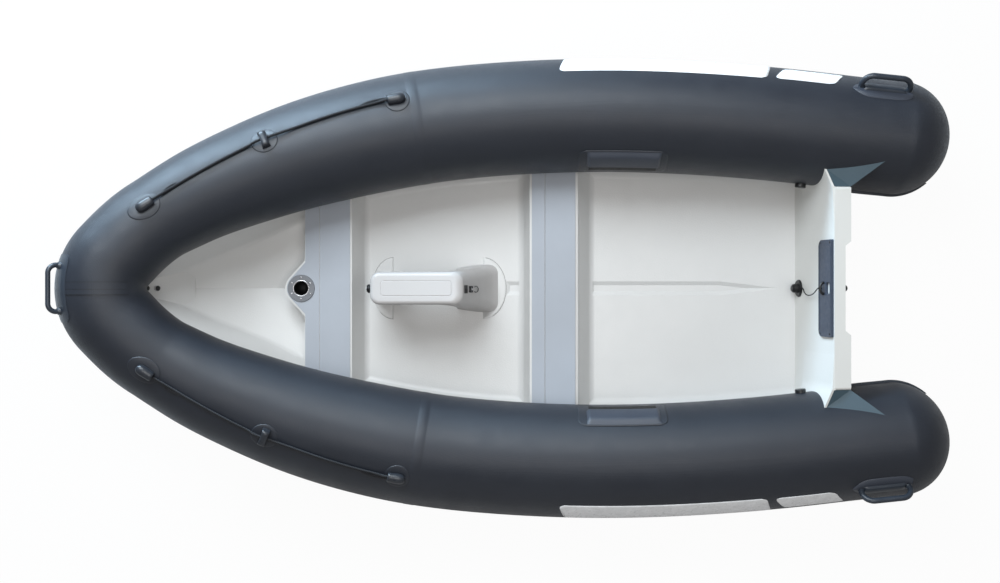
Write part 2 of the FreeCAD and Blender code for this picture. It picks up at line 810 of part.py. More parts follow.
def make_drain_bush():
    back = -transom_thickness
    flange = back - drain_flange_thickness
    return turned(
        [(0, drain_bush_bore), (0, drain_bush_radius), (back, drain_bush_radius), (back, drain_flange_radius),
         (flange, drain_flange_radius - 2), (flange, drain_bush_bore)], drain_height)


def make_drain_plug():
    shank = drain_bush_bore - fit_gap
    disc = plug_disc_thickness
    tip = disc + plug_stub_length
    plug = turned(
        [(-plug_shank_length, 0), (-plug_shank_length, shank - 2), (-plug_shank_length + 2, shank), (0, shank),
         (0, plug_disc_radius), (disc * 0.5, plug_disc_radius), (disc, plug_disc_radius - 3),
         (disc, plug_stub_radius), (tip - 5, plug_stub_radius - 1), (tip, plug_stub_radius - 6), (tip, 0)],
        drain_height)
    hole = Part.makeCylinder(2.2, 80, Vec(disc + 12, -40, drain_height + 6), Y_AXIS)
    half = plug_lug_width / 2
    lug = box(0, disc, -half, half, drain_height + plug_disc_radius - 5, plug_lug_top)
    return fused([plug, on_transom(lug)]).cut(on_transom(hole))


def eye_peak():
    """Stand-off of the transom eye's rod at its middle."""
    return pad_thickness + eye_leg + eye_bow


def make_lanyard_ring():
    """The small ring that holds the lanyard on the transom eye."""
    root = Vec(eye_peak(), -lanyard_ring_width / 2, eye_height)
    outer = Part.makeCylinder(lanyard_ring_radius, lanyard_ring_width, root, Y_AXIS)
    bore = Part.makeCylinder(eye_rod + 0.3, lanyard_ring_width, root, Y_AXIS)
    flat = box(-FAR, FAR, -FAR, FAR, -FAR, eye_height - lanyard_ring_flat)
    return on_transom(outer.cut(bore).cut(flat))


# Cords

def cord_radii(points):
    radii = [0]
    for a, b, c in zip(points, points[1:], points[2:]):
        half_turn = (b - a).getAngle(c - b) / 2
        shorter = min((b - a).Length, (c - b).Length)
        radii.append(0.45 * shorter / math.tan(half_turn))
    return radii + [0]


def cord_solid(points, radius, name):
    """A round cord on straight runs joined by tangent arcs."""
    radii = cord_radii(points)
    path = Part.Wire(rounded_edges(points, radii, False))
    first = path.Edges[0]
    profile = Part.makeCircle(radius, points[0], first.tangentAt(first.FirstParameter))
    solid = path.makePipeShell([Part.Wire(profile)], True, False)
    expected = math.pi * radius ** 2 * path.Length
    print("%s: length %.1f, radii %s" % (name, path.Length, [round(r, 1) for r in radii[1:-1]]))
    print("%s: volume over expected %.4f" % (name, solid.Volume / expected))
    return solid


def lanyard_points():
    """Height up the slope, half-breadth and stand-off from the transom's inner face."""
    root = plug_disc_thickness / 2
    peak = eye_peak()
    top = eye_height - lanyard_ring_flat
    return [
        (plug_lug_top, 0, root), (plug_lug_top + 8.5, 0, root), (81, 5.0, 5.5), (96, 13.5, 9.0),
        (116, 20.5, 11.5), (140, 23.0, 12.0), (164, 20.5, 12.0), (187, 13.5, 13.0), (208, 6.0, 16.0),
        (top - 13, 0, peak), (top, 0, peak),
    ]


# Pod

def rounded_rectangle(x0, x1, half, z, corner):
    points = [Vec(x0, -half, z), Vec(x1, -half, z), Vec(x1, half, z), Vec(x0, half, z)]
    return outline_wire(points, [corner] * 4)


def make_pod():
    """The moulded arch on the middle tray: two drafted feet, flanges and a recessed top."""
    base = rounded_rectangle(pod_foot_x[0], pod_foot_x[1], pod_foot_half, floor_z, pod_corner + 6)
    head = rounded_rectangle(pod_top_x[0], pod_top_x[1], pod_top_half, pod_top_z, pod_corner)
    body = Part.makeLoft([base, head], True, True)
    rim = [e for e in body.Edges if all(v.Z > pod_top_z - 0.1 for v in e.Vertexes)]
    body = body.makeFillet(pod_rim, rim)
    arch = [(pod_arch_x[0], floor_z - 10), (pod_arch_x[1], floor_z - 10), (pod_arch_x[1] - 8, pod_arch_top),
            (pod_arch_x[0] + 8, pod_arch_top)]
    body = body.cut(side_prism(arch, [0, 0, 70, 70], FAR / 2))
    flanges = fused([fore_flange(), aft_flange()])
    back, front = pod_recess_x
    half = pod_recess_half
    recess = plan_prism([(back, -half), (front, -half), (front, half), (back, half)], [10, 10, 10, 10],
                        pod_top_z - pod_recess_depth, FAR)
    return fused([body, flanges]).cut(recess)


def half_ellipse_plate(x, reach, ahead):
    """A flat flange with a half-elliptical end."""
    half = pod_flange_half
    major = max(half, reach)
    minor = min(half, reach)
    ellipse = Part.Ellipse(ORIGIN, major, minor).toShape()
    if major == half:
        ellipse.rotate(ORIGIN, Z_AXIS, 90)
    plate = Part.Face(Part.Wire(ellipse)).extrude(Vec(0, 0, pod_flange_thickness))
    plate = plate.common(box(0, FAR, -FAR, FAR, -1, FAR) if ahead else box(-FAR, 0, -FAR, FAR, -1, FAR))
    plate.translate(Vec(x, 0, floor_z))
    return plate


def fore_flange():
    return half_ellipse_plate(400, pod_fore_flange_length, True)


def aft_flange():
    return half_ellipse_plate(96, pod_aft_flange_length, False)


# Fittings

def make_holder(x, degrees, name):
    """A rubber rope holder on its round patch: a bullet at each end, a strap in the middle."""
    disc = Part.makeCylinder(holder_patch_radius, 60, Vec(0, 0, -40))
    base = patch(disc, x, degrees, 100, patch_thickness)
    if name == "middle":
        body = Part.makeBox(24, 56, holder_height + 12, Vec(-12, -28, -12))
        ends = [e for e in body.Edges
                if abs(abs(e.CenterOfMass.y) - 28) < 1 and abs(e.CenterOfMass.z - holder_height) < 1]
        body = body.makeFillet(14, ends)
    else:
        nose = 1 if name == "fore" else -1
        radius = holder_radius
        axis_z = holder_height - radius
        barrel = Part.makeCylinder(radius, 2 * holder_half, Vec(-holder_half, 0, axis_z), X_AXIS)
        tip = Part.makeSphere(radius, Vec(nose * holder_half, 0, axis_z))
        stem = Part.makeBox(2 * holder_half, 2 * radius, axis_z + 12, Vec(-holder_half, -radius, -12))
        toe = Part.makeCylinder(radius, axis_z + 12, Vec(nose * holder_half, 0, -12))
        body = fused([barrel, tip, stem, toe])
    bore = Part.makeCylinder(rope_radius + 0.3, 140, Vec(-70, 0, rope_height), X_AXIS)
    if name == "fore":
        bore.translate(Vec(rope_end - 70, 0, 0))
    if name == "aft":
        bore.translate(Vec(70 - rope_end, 0, 0))
    upper = placed(body, x, degrees, 0).cut(skin)
    return fused([base, upper]).cut(placed(bore, x, degrees, 0))


def rope_points():
    """The rope's route over the tube, straight through each holder."""
    points = []
    for (x0, angle0, _), (x1, angle1, _) in zip(holder_places, holder_places[1:]):
        points += [through_holder(x0, angle0, -30)]
        rest = rope_radius + rope_rest + seat_gap
        for k in (0.22, 0.36, 0.5, 0.64, 0.78):
            sag = 5.0 * math.sin(math.pi * k)
            point, outward, aft = surface_point(x0 + (x1 - x0) * k, angle0 + (angle1 - angle0) * k + sag, rest)
            points.append(point)
        points += [through_holder(x1, angle1, 30)]
    first = through_holder(holder_places[0][0], holder_places[0][1], rope_end)
    last = through_holder(holder_places[-1][0], holder_places[-1][1], -rope_end)
    return [first] + points + [last]


def through_holder(x, degrees, forward):
    point, outward, aft = surface_point(x, degrees, rope_height)
    return point - aft * forward


def make_handle(x, degrees, length, stand):
    """A moulded carrying handle along the tube: a round bar bowed off two pads."""
    half = length / 2
    pads = []
    for end in (half, -half):
        pad = Part.makeCylinder(handle_pad_radius, handle_pad_height + 20, Vec(end, 0, -20))
        pads.append(placed(pad, x, degrees, seat_gap))
    base = Part.makeBox(length + 70, 62, 60, Vec(-half - 35, -31, -40))
    corners = [e for e in base.Edges if abs(e.Vertexes[0].Z - e.Vertexes[-1].Z) > 1]
    base = base.makeFillet(20, corners)
    base = patch(base, x, degrees, length + 100, patch_thickness)
    start = Vec(half, 0, 2)
    arc_rise = stand
    points = [start, Vec(half, 0, arc_rise), Vec(-half, 0, arc_rise), Vec(-half, 0, 2)]
    path = Part.Wire(rounded_edges(points, [0, 24, 24, 0], False))
    profile = Part.Wire(Part.makeCircle(handle_rod, start, Z_AXIS))
    bar = placed(path.makePipeShell([profile], True, False), x, degrees, 0)
    return fused([base] + [p.cut(skin) for p in pads] + [bar.cut(skin)])


def on_nose(shape, turn_degrees, degrees, height):
    """Stands a shape on the nose elbow: +Z outward, +X along the tube towards port."""
    turn = math.radians(turn_degrees)
    radial = tilt_vector(math.cos(turn), math.sin(turn), 0)
    along = tilt_vector(-math.sin(turn), math.cos(turn), 0)
    lean = math.radians(degrees)
    outward = elbow_axis * math.cos(lean) + radial * math.sin(lean)
    point = elbow_point(turn_degrees) + outward * (nose_radius + height)
    moved = shape.copy()
    rotation = FreeCAD.Rotation(along, outward.cross(along), outward, "ZXY")
    moved.Placement = FreeCAD.Placement(point, rotation).multiply(moved.Placement)
    return moved


def nose_skin(offset):
    half = elbow(offset, nose_half_angle)
    return fused([half, mirrored(half)])


def nose_place(turn_degrees, height):
    return on_nose(Part.Vertex(0, 0, height), turn_degrees, bow_handle_angle, 0).Point


def make_bow_handle():
    """The carrying handle bowed across the nose, on its patch."""
    spread = bow_handle_spread
    rod = bow_handle_rod
    stand = bow_handle_stand
    points = [nose_place(-spread, -4), nose_place(-spread, stand), nose_place(spread, stand),
              nose_place(spread, -4)]
    path = Part.Wire(rounded_edges(points, [0, 24, 24, 0], False))
    profile = Part.Wire(Part.makeCircle(rod, points[0], points[1] - points[0]))
    bar = path.makePipeShell([profile], True, False)
    pads = []
    for side in (-1, 1):
        pad = Part.makeCone(rod + 7, rod + 2, 12, Vec(0, 0, -3))
        pads.append(on_nose(pad, side * spread, bow_handle_angle, 0))
    long_half, wide_half = bow_patch_length / 2, bow_patch_width / 2
    base = box(-long_half, long_half, -wide_half, wide_half, -70, 40)
    corners = [e for e in base.Edges if abs(e.Vertexes[0].Z - e.Vertexes[-1].Z) > 1]
    base = on_nose(base.makeFillet(26, corners), 0, bow_handle_angle, 0)
    base = base.common(nose_skin(seat_gap + patch_thickness))
    return fused([bar, base] + pads).cut(nose_skin(seat_gap))


def make_nose_strip():
    """The tape over the joint of the two bow tubes."""
    width = 40.0
    centre = elbow_point(0)
    shell = nose_skin(seat_gap + patch_thickness).cut(nose_skin(seat_gap))
    outline = []
    for degrees in (-26, 22):
        lean = math.radians(degrees)
        outline.append(elbow_axis * math.cos(lean) + tilt_vector(1, 0, 0) * math.sin(lean))
    reach = nose_radius * 1.4
    points = [centre, centre + outline[0] * reach, centre + outline[1] * reach]
    wedge = Part.Face(Part.makePolygon(points + points[:1]))
    wedge.translate(Vec(0, -width / 2, 0))
    return shell.common(wedge.extrude(Vec(0, width, 0)))


def make_valve():
    cap = Part.makeCylinder(valve_radius, valve_height + 12, Vec(0, 0, -12))
    rim = [e for e in cap.Edges if abs(e.CenterOfMass.z - valve_height) < 0.1 and len(e.Vertexes) == 1]
    cap = cap.makeFillet(3, rim)
    return placed(cap, valve_x, valve_angle, seat_gap).cut(skin)


def make_pocket():
    """A seat board's pocket, open along its inboard edge."""
    length, width = pocket_length, pocket_width
    outer = Part.makeBox(length, width, 90, Vec(-length / 2, -width / 2, -60))
    corners = [e for e in outer.Edges if abs(e.Vertexes[0].Z - e.Vertexes[-1].Z) > 1]
    outer = placed(outer.makeFillet(14, corners), pocket_x, pocket_angle, 0)
    body = outer.common(short_tube(pocket_x, length + 60, seat_gap + pocket_height)).cut(skin)
    slot_low = (pocket_height - pocket_slot) / 2
    hollow = Part.makeBox(length - 2 * pocket_wall, width, 90, Vec(-length / 2 + pocket_wall, -width / 2 - pocket_wall, -60))
    hollow = placed(hollow, pocket_x, pocket_angle, 0)
    hollow = hollow.common(short_tube(pocket_x, length + 60, seat_gap + slot_low + pocket_slot))
    hollow = hollow.cut(short_tube(pocket_x, length + 80, seat_gap + slot_low))
    return body.cut(hollow)


def make_gusset():
    """The fabric wedge that ties the transom's end to the tube, tapering aft."""
    top = transom_top_half
    high = transom_height - gusset_drop
    front = (0.0, top, high)
    back = (-transom_thickness, top, high)
    tip = on_skin(ear_forward, top + ear_out)
    tail = on_skin(-transom_thickness - gusset_tail, top + gusset_tail_out)
    columns = []
    for corners in ((front, tip, back), (back, tip, tail)):
        wires = []
        for heights in ([shoulder_height - 50] * 3, [corner[2] for corner in corners]):
            points = [Vec(a, b, h) for (a, b, _), h in zip(corners, heights)]
            wires.append(Part.makePolygon(points + points[:1]))
        columns.append(Part.makeLoft(wires, True, True))
    shoulder = [(top, shoulder_height), (top + 122, shoulder_height - 46), (top + 122, FAR), (top, FAR)]
    wire = outline_wire([Vec(-FAR, a, b) for a, b in shoulder], [0] * 4)
    wedge = fused(columns).common(Part.Face(wire).extrude(Vec(2 * FAR, 0, 0)))
    return on_transom(wedge).cut(skin).cut(transom)


def strake_band(width, height):
    middle = (strake_front + cone_x) / 2
    band = Part.makeBox(strake_length, width, strake_wrap + 60, Vec(-strake_length, -width / 2, -strake_wrap))
    band.translate(Vec(strake_front - middle, 0, 0))
    grown = short_tube(middle, strake_front - cone_x + 60, seat_gap + height)
    return placed(band, middle, strake_angle, 0).common(grown).cut(skin)


def make_strake():
    """The beaded strake low on the inner side of the tube's after end, round towards its tip."""
    return fused([strake_band(strake_width, strake_height), strake_band(bead_width, bead_height)])


def make_keel_strip():
    """The wear strip under the keel; it is cut at the hull's joints when saved."""
    half = keel_strip_width / 2
    wires = []
    for x, keel_z, chine_y, chine_z in hull_stations[1:11]:
        low = keel_z - keel_strip_depth
        points = [Vec(x, -half, low), Vec(x, half, low), Vec(x, half + 3, keel_z + 14), Vec(x, -half - 3, keel_z + 14)]
        wires.append(Part.makePolygon(points + points[:1]))
    return Part.makeLoft(wires, True, False).cut(whole_hull)


def make_bow_eye():
    """The towing eye: a bent rod through the stem, with a round nut inside on each leg."""
    middle, outward, along = bow_eye_frame()
    reach = bow_eye_reach
    ends = [middle + along * (side * bow_eye_half) + outward * reach for side in (-1, 1)]
    peak = middle + outward * (reach + bow_eye_half)
    arc = Part.Arc(ends[0], peak, ends[1]).toShape()
    profile = Part.makeCircle(bow_eye_rod, ends[0], arc.tangentAt(arc.FirstParameter))
    bend = Part.Wire(arc).makePipeShell([Part.Wire(profile)], True, False)
    legs = bow_eye_legs(bow_eye_rod, -bow_eye_nut, reach)
    nuts = bow_eye_legs(bow_eye_nut_radius, -bow_eye_nut, 0)
    return fused([bend] + legs + nuts)


# Build

hull_bow, hull_mid, hull_stern = make_hull()
save(hull_bow, "hull_bow")
save(hull_mid, "hull_mid")
save(hull_stern, "hull_stern")
deck_bow, deck_mid, deck_stern = make_decks()
save(deck_bow, "deck_bow")
save(deck_mid, "deck_mid")
save(deck_stern, "deck_stern")
save_pair(port_bow, "tube_bow")
save_pair(port_side, "tube_side")
save_pair(port_cone, "tube_cone")
transom = make_transom()
save(transom, "transom")
save(make_motor_pad(), "motor_pad")
save(make_transom_eye(), "transom_eye")
save(make_knob(), "transom_knob")
save(make_drain_bush(), "drain_bush")
save(make_drain_plug(), "drain_plug")
lanyard = on_transom(cord_solid([Vec(d, b, a) for a, b, d in lanyard_points()], lanyard_radius, "plug_lanyard"))
save(lanyard, "plug_lanyard")
save(make_lanyard_ring(), "lanyard_ring")
for strip_name, strip_shape in make_strips().items():
    save(strip_shape, strip_name)
save(make_socket(), "pole_socket")
save(make_pod(), "centre_pod")
for holder_x, holder_angle, holder_name in holder_places:
    save_pair(make_holder(holder_x, holder_angle, holder_name), "rope_holder_" + holder_name)
save_pair(cord_solid(rope_points(), rope_radius, "grab_rope"), "grab_rope")
save_pair(make_handle(stern_handle_x, stern_handle_angle, stern_handle_length, handle_stand), "stern_handle")
save(make_bow_handle(), "bow_handle")
save(make_nose_strip(), "nose_strip")
save_pair(make_valve(), "air_valve")
save_pair(make_pocket(), "seat_pocket")
save_pair(make_gusset(), "transom_gusset")
save_pair(make_strake(), "inner_strake")
keel_strip = make_keel_strip()
save(keel_strip.common(slab(fore_joint_x, FAR)), "keel_strip_bow")
save(keel_strip.common(slab(aft_joint_x, fore_joint_x)), "keel_strip_mid")
save(keel_strip.common(slab(-FAR, aft_joint_x)), "keel_strip_stern")
save(make_bow_eye(), "bow_eye")
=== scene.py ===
import math
from math import asin, cos, pi, radians, sin, sqrt, tan

import bmesh
import bpy
import numpy as np
from mathutils import Matrix, Vector


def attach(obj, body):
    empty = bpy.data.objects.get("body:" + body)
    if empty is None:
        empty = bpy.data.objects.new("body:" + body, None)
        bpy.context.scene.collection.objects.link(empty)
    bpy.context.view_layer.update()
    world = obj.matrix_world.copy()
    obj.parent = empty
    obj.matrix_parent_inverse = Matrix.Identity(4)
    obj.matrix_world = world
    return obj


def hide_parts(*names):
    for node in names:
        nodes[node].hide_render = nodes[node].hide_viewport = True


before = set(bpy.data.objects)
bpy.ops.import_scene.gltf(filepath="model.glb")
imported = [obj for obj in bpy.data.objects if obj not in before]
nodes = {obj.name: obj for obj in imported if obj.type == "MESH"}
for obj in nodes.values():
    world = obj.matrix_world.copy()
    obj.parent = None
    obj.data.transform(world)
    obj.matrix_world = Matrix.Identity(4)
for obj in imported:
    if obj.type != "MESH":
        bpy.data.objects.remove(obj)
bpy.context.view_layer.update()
scene = bpy.context.scene

# Sizes, in metres. +X is the bow, +Y port, +Z up; the waterline is at 0.
LIFT = 0.043                 # the drawing's datum above the waterline
SEAM_X = 0.3                 # the tube's glued band
SEAM_HALF = 0.013
SEAM_EDGE = 0.002
SEAM_RISE = 0.0005
CONE_X = -1.206              # where the tube's rounded end starts
CONE_LENGTH = 0.161
CAP_SEAM = 0.027             # the end cap's seam, aft of there
CAP_LAP = 0.0007
TUBE_RADIUS = 0.177
NOSE_RADIUS = 0.132
NOSE_BEND = 0.144            # the elbow's centre line
NOSE_HALF_ANGLE = 42.0
NOSE_TILT = radians(15.1)
APEX_X = 1.104
SHEER_START = 0.04
TAPER_START = 1.08
TUBE_HEIGHT = 0.175 + LIFT
TUBE_LINE = [
    (1.159, 0.150), (1.101, 0.201), (1.033, 0.245), (0.968, 0.283), (0.848, 0.340), (0.666, 0.411),
    (0.480, 0.465), (0.292, 0.5045), (0.040, 0.533), (-0.276, 0.545), (-0.592, 0.535), (-0.907, 0.508),
    (-1.080, 0.488), (CONE_X, 0.475),
]
STRIP_THICKNESS = 0.004
STRIP_TOP = 0.090 + LIFT + STRIP_THICKNESS
FLOOR_Z = -0.005 + LIFT
TRANSOM_FOOT = Vector((-0.936, 0, LIFT))
TRANSOM_RAKE = radians(8.26)
SEGMENTS = 96                # round a tube


# Materials

def linear(colour):
    return tuple((c / 12.92 if c <= 0.04045 else ((c + 0.055) / 1.055) ** 2.4) for c in colour)


def add_node(tree, kind, **values):
    """A shader node with its settings and its inputs' values."""
    node = tree.nodes.new(kind)
    for key, value in values.items():
        if hasattr(node, key):
            setattr(node, key, value)
        else:
            node.inputs[key.replace("_", " ")].default_value = value
    return node


class Shader:
    """A Principled material built node by node."""

    def __init__(self, name, colour, roughness, metallic=0.0, specular=0.5):
        self.material = bpy.data.materials.new(name)
        self.material.use_nodes = True
        self.tree = self.material.node_tree
        self.main = self.tree.nodes["Principled BSDF"]
        self.colour = linear(colour)
        self.put("Base Color", (*self.colour, 1))
        self.put("Roughness", roughness)
        self.put("Metallic", metallic)
        self.put("Specular IOR Level", specular)
        self.coordinates = self.add("ShaderNodeTexCoord").outputs["Object"]
        self.normal = None

    def put(self, name, value):
        self.main.inputs[name].default_value = value

    def add(self, kind, **values):
        return add_node(self.tree, kind, **values)

    def link(self, source, target):
        self.tree.links.new(source, target)

    def stretched(self, scale):
        node = self.add("ShaderNodeMapping", Scale=scale)
        self.link(self.coordinates, node.inputs["Vector"])
        return node.outputs["Vector"]

    def texture(self, kind, output="Fac", vector=None, **values):
        node = self.add("ShaderNodeTex" + kind, **values)
        self.link(vector or self.coordinates, node.inputs["Vector"])
        return node.outputs[output]

    def noise(self, scale, detail=3.0, vector=None):
        return self.texture("Noise", vector=vector, Scale=scale, Detail=detail, Roughness=0.55)

    def waves(self, scale, direction, distortion=0.0):
        return self.texture("Wave", Scale=scale, Distortion=distortion, bands_direction=direction)

    def bump(self, height, distance, strength):
        node = self.add("ShaderNodeBump", Strength=strength, Distance=distance)
        self.link(height, node.inputs["Height"])
        if self.normal:
            self.link(self.normal, node.inputs["Normal"])
        self.normal = node.outputs["Normal"]
        self.link(self.normal, self.main.inputs["Normal"])

    def ranged(self, factor, least, most):
        """A noise's middle range spread between two values."""
        node = self.add("ShaderNodeMapRange", From_Min=0.3, From_Max=0.7, To_Min=least, To_Max=most)
        self.link(factor, node.inputs["Value"])
        return node.outputs["Result"]

    def tint(self, factor, dark, light):
        """Varies the colour between two shares of itself."""
        scale = self.add("ShaderNodeVectorMath", operation="SCALE")
        scale.inputs[0].default_value = self.colour
        self.link(self.ranged(factor, dark, light), scale.inputs["Scale"])
        self.link(scale.outputs["Vector"], self.main.inputs["Base Color"])

    def gloss(self, factor, low, high):
        """Varies the roughness between two values."""
        self.link(self.ranged(factor, low, high), self.main.inputs["Roughness"])


def fabric(name, colour, roughness=0.42):
    """Coated tube fabric: soft dents of the cloth, a fine woven grain and a dull film."""
    s = Shader(name, colour, roughness)
    s.tint(s.noise(5.0, 4.0), 0.93, 1.07)
    s.gloss(s.noise(14.0, 3.0), roughness - 0.05, roughness + 0.06)
    s.bump(s.noise(9.0, 2.0), 0.0016, 0.5)
    s.bump(s.waves(420.0, "X", 0.6), 0.00012, 0.5)
    s.bump(s.waves(420.0, "Z", 0.6), 0.00012, 0.5)
    return s.material


def gelcoat(name, colour, grain, roughness):
    """Moulded white hull: orange peel under a thin gloss, with faint scuffs."""
    s = Shader(name, colour, roughness)
    s.tint(s.noise(2.2, 5.0), 0.965, 1.02)
    s.gloss(s.noise(30.0, 4.0), roughness - 0.06, roughness + 0.10)
    s.bump(s.noise(45.0, 2.0), 0.0002, 0.25)
    if grain:
        s.bump(s.texture("Voronoi", "Distance", Scale=260.0), 0.0005, grain)
    s.put("Coat Weight", 0.15)
    s.put("Coat Roughness", 0.25)
    return s.material


def moulded(name, colour, roughness, grain=0.3, scale=500.0):
    s = Shader(name, colour, roughness)
    s.tint(s.noise(40.0, 3.0), 0.92, 1.08)
    s.gloss(s.noise(90.0, 3.0), roughness - 0.06, roughness + 0.08)
    s.bump(s.noise(scale, 2.0), 0.0003, grain)
    return s.material


def grip_cover(name, colour):
    """Ribbed foam covering: fine ribs across the boat under a soft unevenness."""
    s = Shader(name, colour, 0.55, specular=0.35)
    s.tint(s.noise(6.0, 4.0), 0.97, 1.03)
    s.bump(s.noise(160.0, 3.0), 0.0005, 0.3)
    s.bump(s.waves(150.0, "X"), 0.0003, 0.35)
    return s.material


def steel(name):
    s = Shader(name, (0.78, 0.78, 0.79), 0.26, metallic=1.0)
    s.gloss(s.noise(1.0, 3.0, s.stretched((40, 900, 40))), 0.2, 0.36)
    return s.material


tube_cloth = fabric("tube_cloth", (0.128, 0.145, 0.178))
trim_cloth = fabric("trim_cloth", (0.215, 0.235, 0.275), 0.36)
patch_cloth = fabric("patch_cloth", (0.145, 0.16, 0.19), 0.36)
wedge_cloth = fabric("wedge_cloth", (0.235, 0.31, 0.35), 0.5)
hull_white = gelcoat("hull_white", (0.86, 0.865, 0.86), 0.0, 0.30)
deck_white = gelcoat("deck_white", (0.83, 0.83, 0.825), 0.5, 0.36)
transom_white = gelcoat("transom_white", (0.86, 0.86, 0.845), 0.28, 0.34)
# The pod is the deck's white gelcoat painted darker: painted shade that offsets the extra light on its top.
pod_white_shaded = gelcoat("pod_white_shaded", (0.735, 0.725, 0.72), 0.0, 0.36)
strip_grey = grip_cover("strip_grey", (0.675, 0.70, 0.735))
socket_grey = moulded("socket_grey", (0.46, 0.47, 0.49), 0.38)
pad_blue = moulded("pad_blue", (0.215, 0.25, 0.31), 0.42)
handle_rubber = moulded("handle_rubber", (0.165, 0.19, 0.225), 0.34)
holder_rubber = moulded("holder_rubber", (0.15, 0.165, 0.19), 0.30)
seam_dark = moulded("seam_dark", (0.07, 0.078, 0.09), 0.5)
seam_grey = moulded("seam_grey", (0.40, 0.37, 0.37), 0.6)
black_plastic = moulded("black_plastic", (0.075, 0.078, 0.085), 0.34)
bright_steel = steel("bright_steel")
plate_white = moulded("plate_white", (0.90, 0.905, 0.91), 0.30, 0.12)
# Near-black that stands in for shade: painted shade in the seat pocket's mouth and down the pole socket's
# deep bore.
painted_shade_black = moulded("painted_shade_black", (0.02, 0.02, 0.022), 0.6)
rope_dark = moulded("rope_dark", (0.055, 0.062, 0.085), 0.55, 0.6, 900.0)

finishes = {
    "hull_": hull_white, "deck_": deck_white, "transom": transom_white, "centre_pod": pod_white_shaded,
    "strip_": strip_grey, "pole_socket": socket_grey, "motor_pad": pad_blue, "transom_eye": black_plastic,
    "transom_knob": black_plastic, "transom_gusset": wedge_cloth, "drain_": black_plastic,
    "plug_lanyard": rope_dark, "lanyard_ring": black_plastic, "rope_holder": handle_rubber,
    "grab_rope": rope_dark, "stern_handle": handle_rubber, "bow_handle": handle_rubber,
    "nose_strip": tube_cloth, "air_valve": black_plastic, "seat_pocket": trim_cloth,
    "inner_strake": handle_rubber, "keel_strip": black_plastic, "bow_eye": bright_steel, "tube_": tube_cloth,
}
for node_name, node in nodes.items():
    prefix = max((p for p in finishes if node_name.startswith(p)), key=len)
    node.data.materials.clear()
    node.data.materials.append(finishes[prefix])
    for polygon in node.data.polygons:
        polygon.material_index = 0


# Pieces

def add_piece(name, mesh, material, smooth=True):
    mesh.materials.clear()
    mesh.materials.append(material)
    for polygon in mesh.polygons:
        polygon.use_smooth = smooth
    piece = bpy.data.objects.new(name, mesh)
    scene.collection.objects.link(piece)
    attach(piece, "root")
    return piece


def mesh_of(name, vertices, faces):
    mesh = bpy.data.meshes.new(name)
    mesh.from_pydata([tuple(v) for v in vertices], [], faces)
    mesh.validate()
    mesh.update()
    return mesh


def mesh_from(name, build):
    """A mesh made by a function that works on an empty bmesh."""
    work = bmesh.new()
    build(work)
    bmesh.ops.recalc_face_normals(work, faces=work.faces)
    mesh = bpy.data.meshes.new(name)
    work.to_mesh(mesh)
    work.free()
    return mesh


def drawn(form):
    """The mesh of an object as its curve or modifiers make it."""
    bpy.context.view_layer.update()
    return bpy.data.meshes.new_from_object(form.evaluated_get(bpy.context.evaluated_depsgraph_get()))


def fitting(name, build, material, smooth=True):
    """A small piece built in an empty bmesh."""
    add_piece(name, mesh_from(name, build), material, smooth)


def pair_piece(name, vertices, faces, material, slot, replaced=()):
    """A port piece and its mirror image, in place of the nodes named without their side."""
    pieces = []
    for end, way in (("_port", 1), ("_starboard", -1)):
        mesh = mesh_of(name + end, [(x, y * way, z) for x, y, z in vertices], [f[::way] for f in faces])
        piece = add_piece(name + end, mesh, material)
        if replaced:
            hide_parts(*(node_name + end for node_name in replaced))
        pieces.append(piece)
    return pieces


def grid_faces(rows, columns, closed=False):
    faces = []
    for i in range(rows - 1):
        for j in range(columns if closed else columns - 1):
            a, b = i * columns + j, i * columns + (j + 1) % columns
            faces.append((a, b, b + columns, a + columns))
    return faces


def turned(count):
    """Cosine and sine of even steps round a circle."""
    turns = [2 * pi * k / count for k in range(count)]
    return [(cos(turn), sin(turn)) for turn in turns]


def ring_round(point, first, second, radius, count):
    """A ring of points round a line, in the plane of two directions."""
    return [point + (first * c + second * s) * radius for c, s in turned(count)]


def shares(count, low=0.0, high=1.0):
    """Even steps from low to high, with both."""
    return [low + (high - low) * k / (count - 1) for k in range(count)]


def circle(work, matrix, radius, z, count):
    """A ring of vertices round the local Z axis."""
    return [work.verts.new(matrix @ Vector((radius * c, radius * s, z))) for c, s in turned(count)]


def placed(point, *ways):
    """A frame at a point, from the directions of its axes."""
    return Matrix.Translation(point) @ Matrix(ways).transposed().to_4x4()


def join_loops(work, loops):
    count = len(loops[0])
    for a, b in zip(loops, loops[1:]):
        for k in range(count):
            n = (k + 1) % count
            work.faces.new((a[k], a[n], b[n], b[k]))


def block(work, matrix, size):
    return bmesh.ops.create_cube(work, size=1.0, matrix=matrix @ Matrix.Diagonal((*size, 1)))


def rounded_block(work, matrix, size, radius, segments):
    made = block(work, matrix, size)
    edges = list(dict.fromkeys(e for v in made["verts"] for e in v.link_edges))
    bmesh.ops.bevel(work, geom=edges, offset=radius, segments=segments, affect="EDGES")


def disc(work, radius, depth, matrix, segments, top, bevel=0.0):
    """A round boss on z = 0, rising to depth and narrowing to the radius of its top."""
    made = bmesh.ops.create_cone(
        work, cap_ends=True, segments=segments, radius1=radius, radius2=top, depth=depth,
        matrix=matrix @ Matrix.Translation((0, 0, depth / 2)))
    if bevel:
        edges = [e for e in work.edges if e.verts[0] in made["verts"] and len(e.link_faces) == 2
                 and e.calc_face_angle(0) > 0.8]
        bmesh.ops.bevel(work, geom=edges, offset=bevel, segments=2, affect="EDGES")


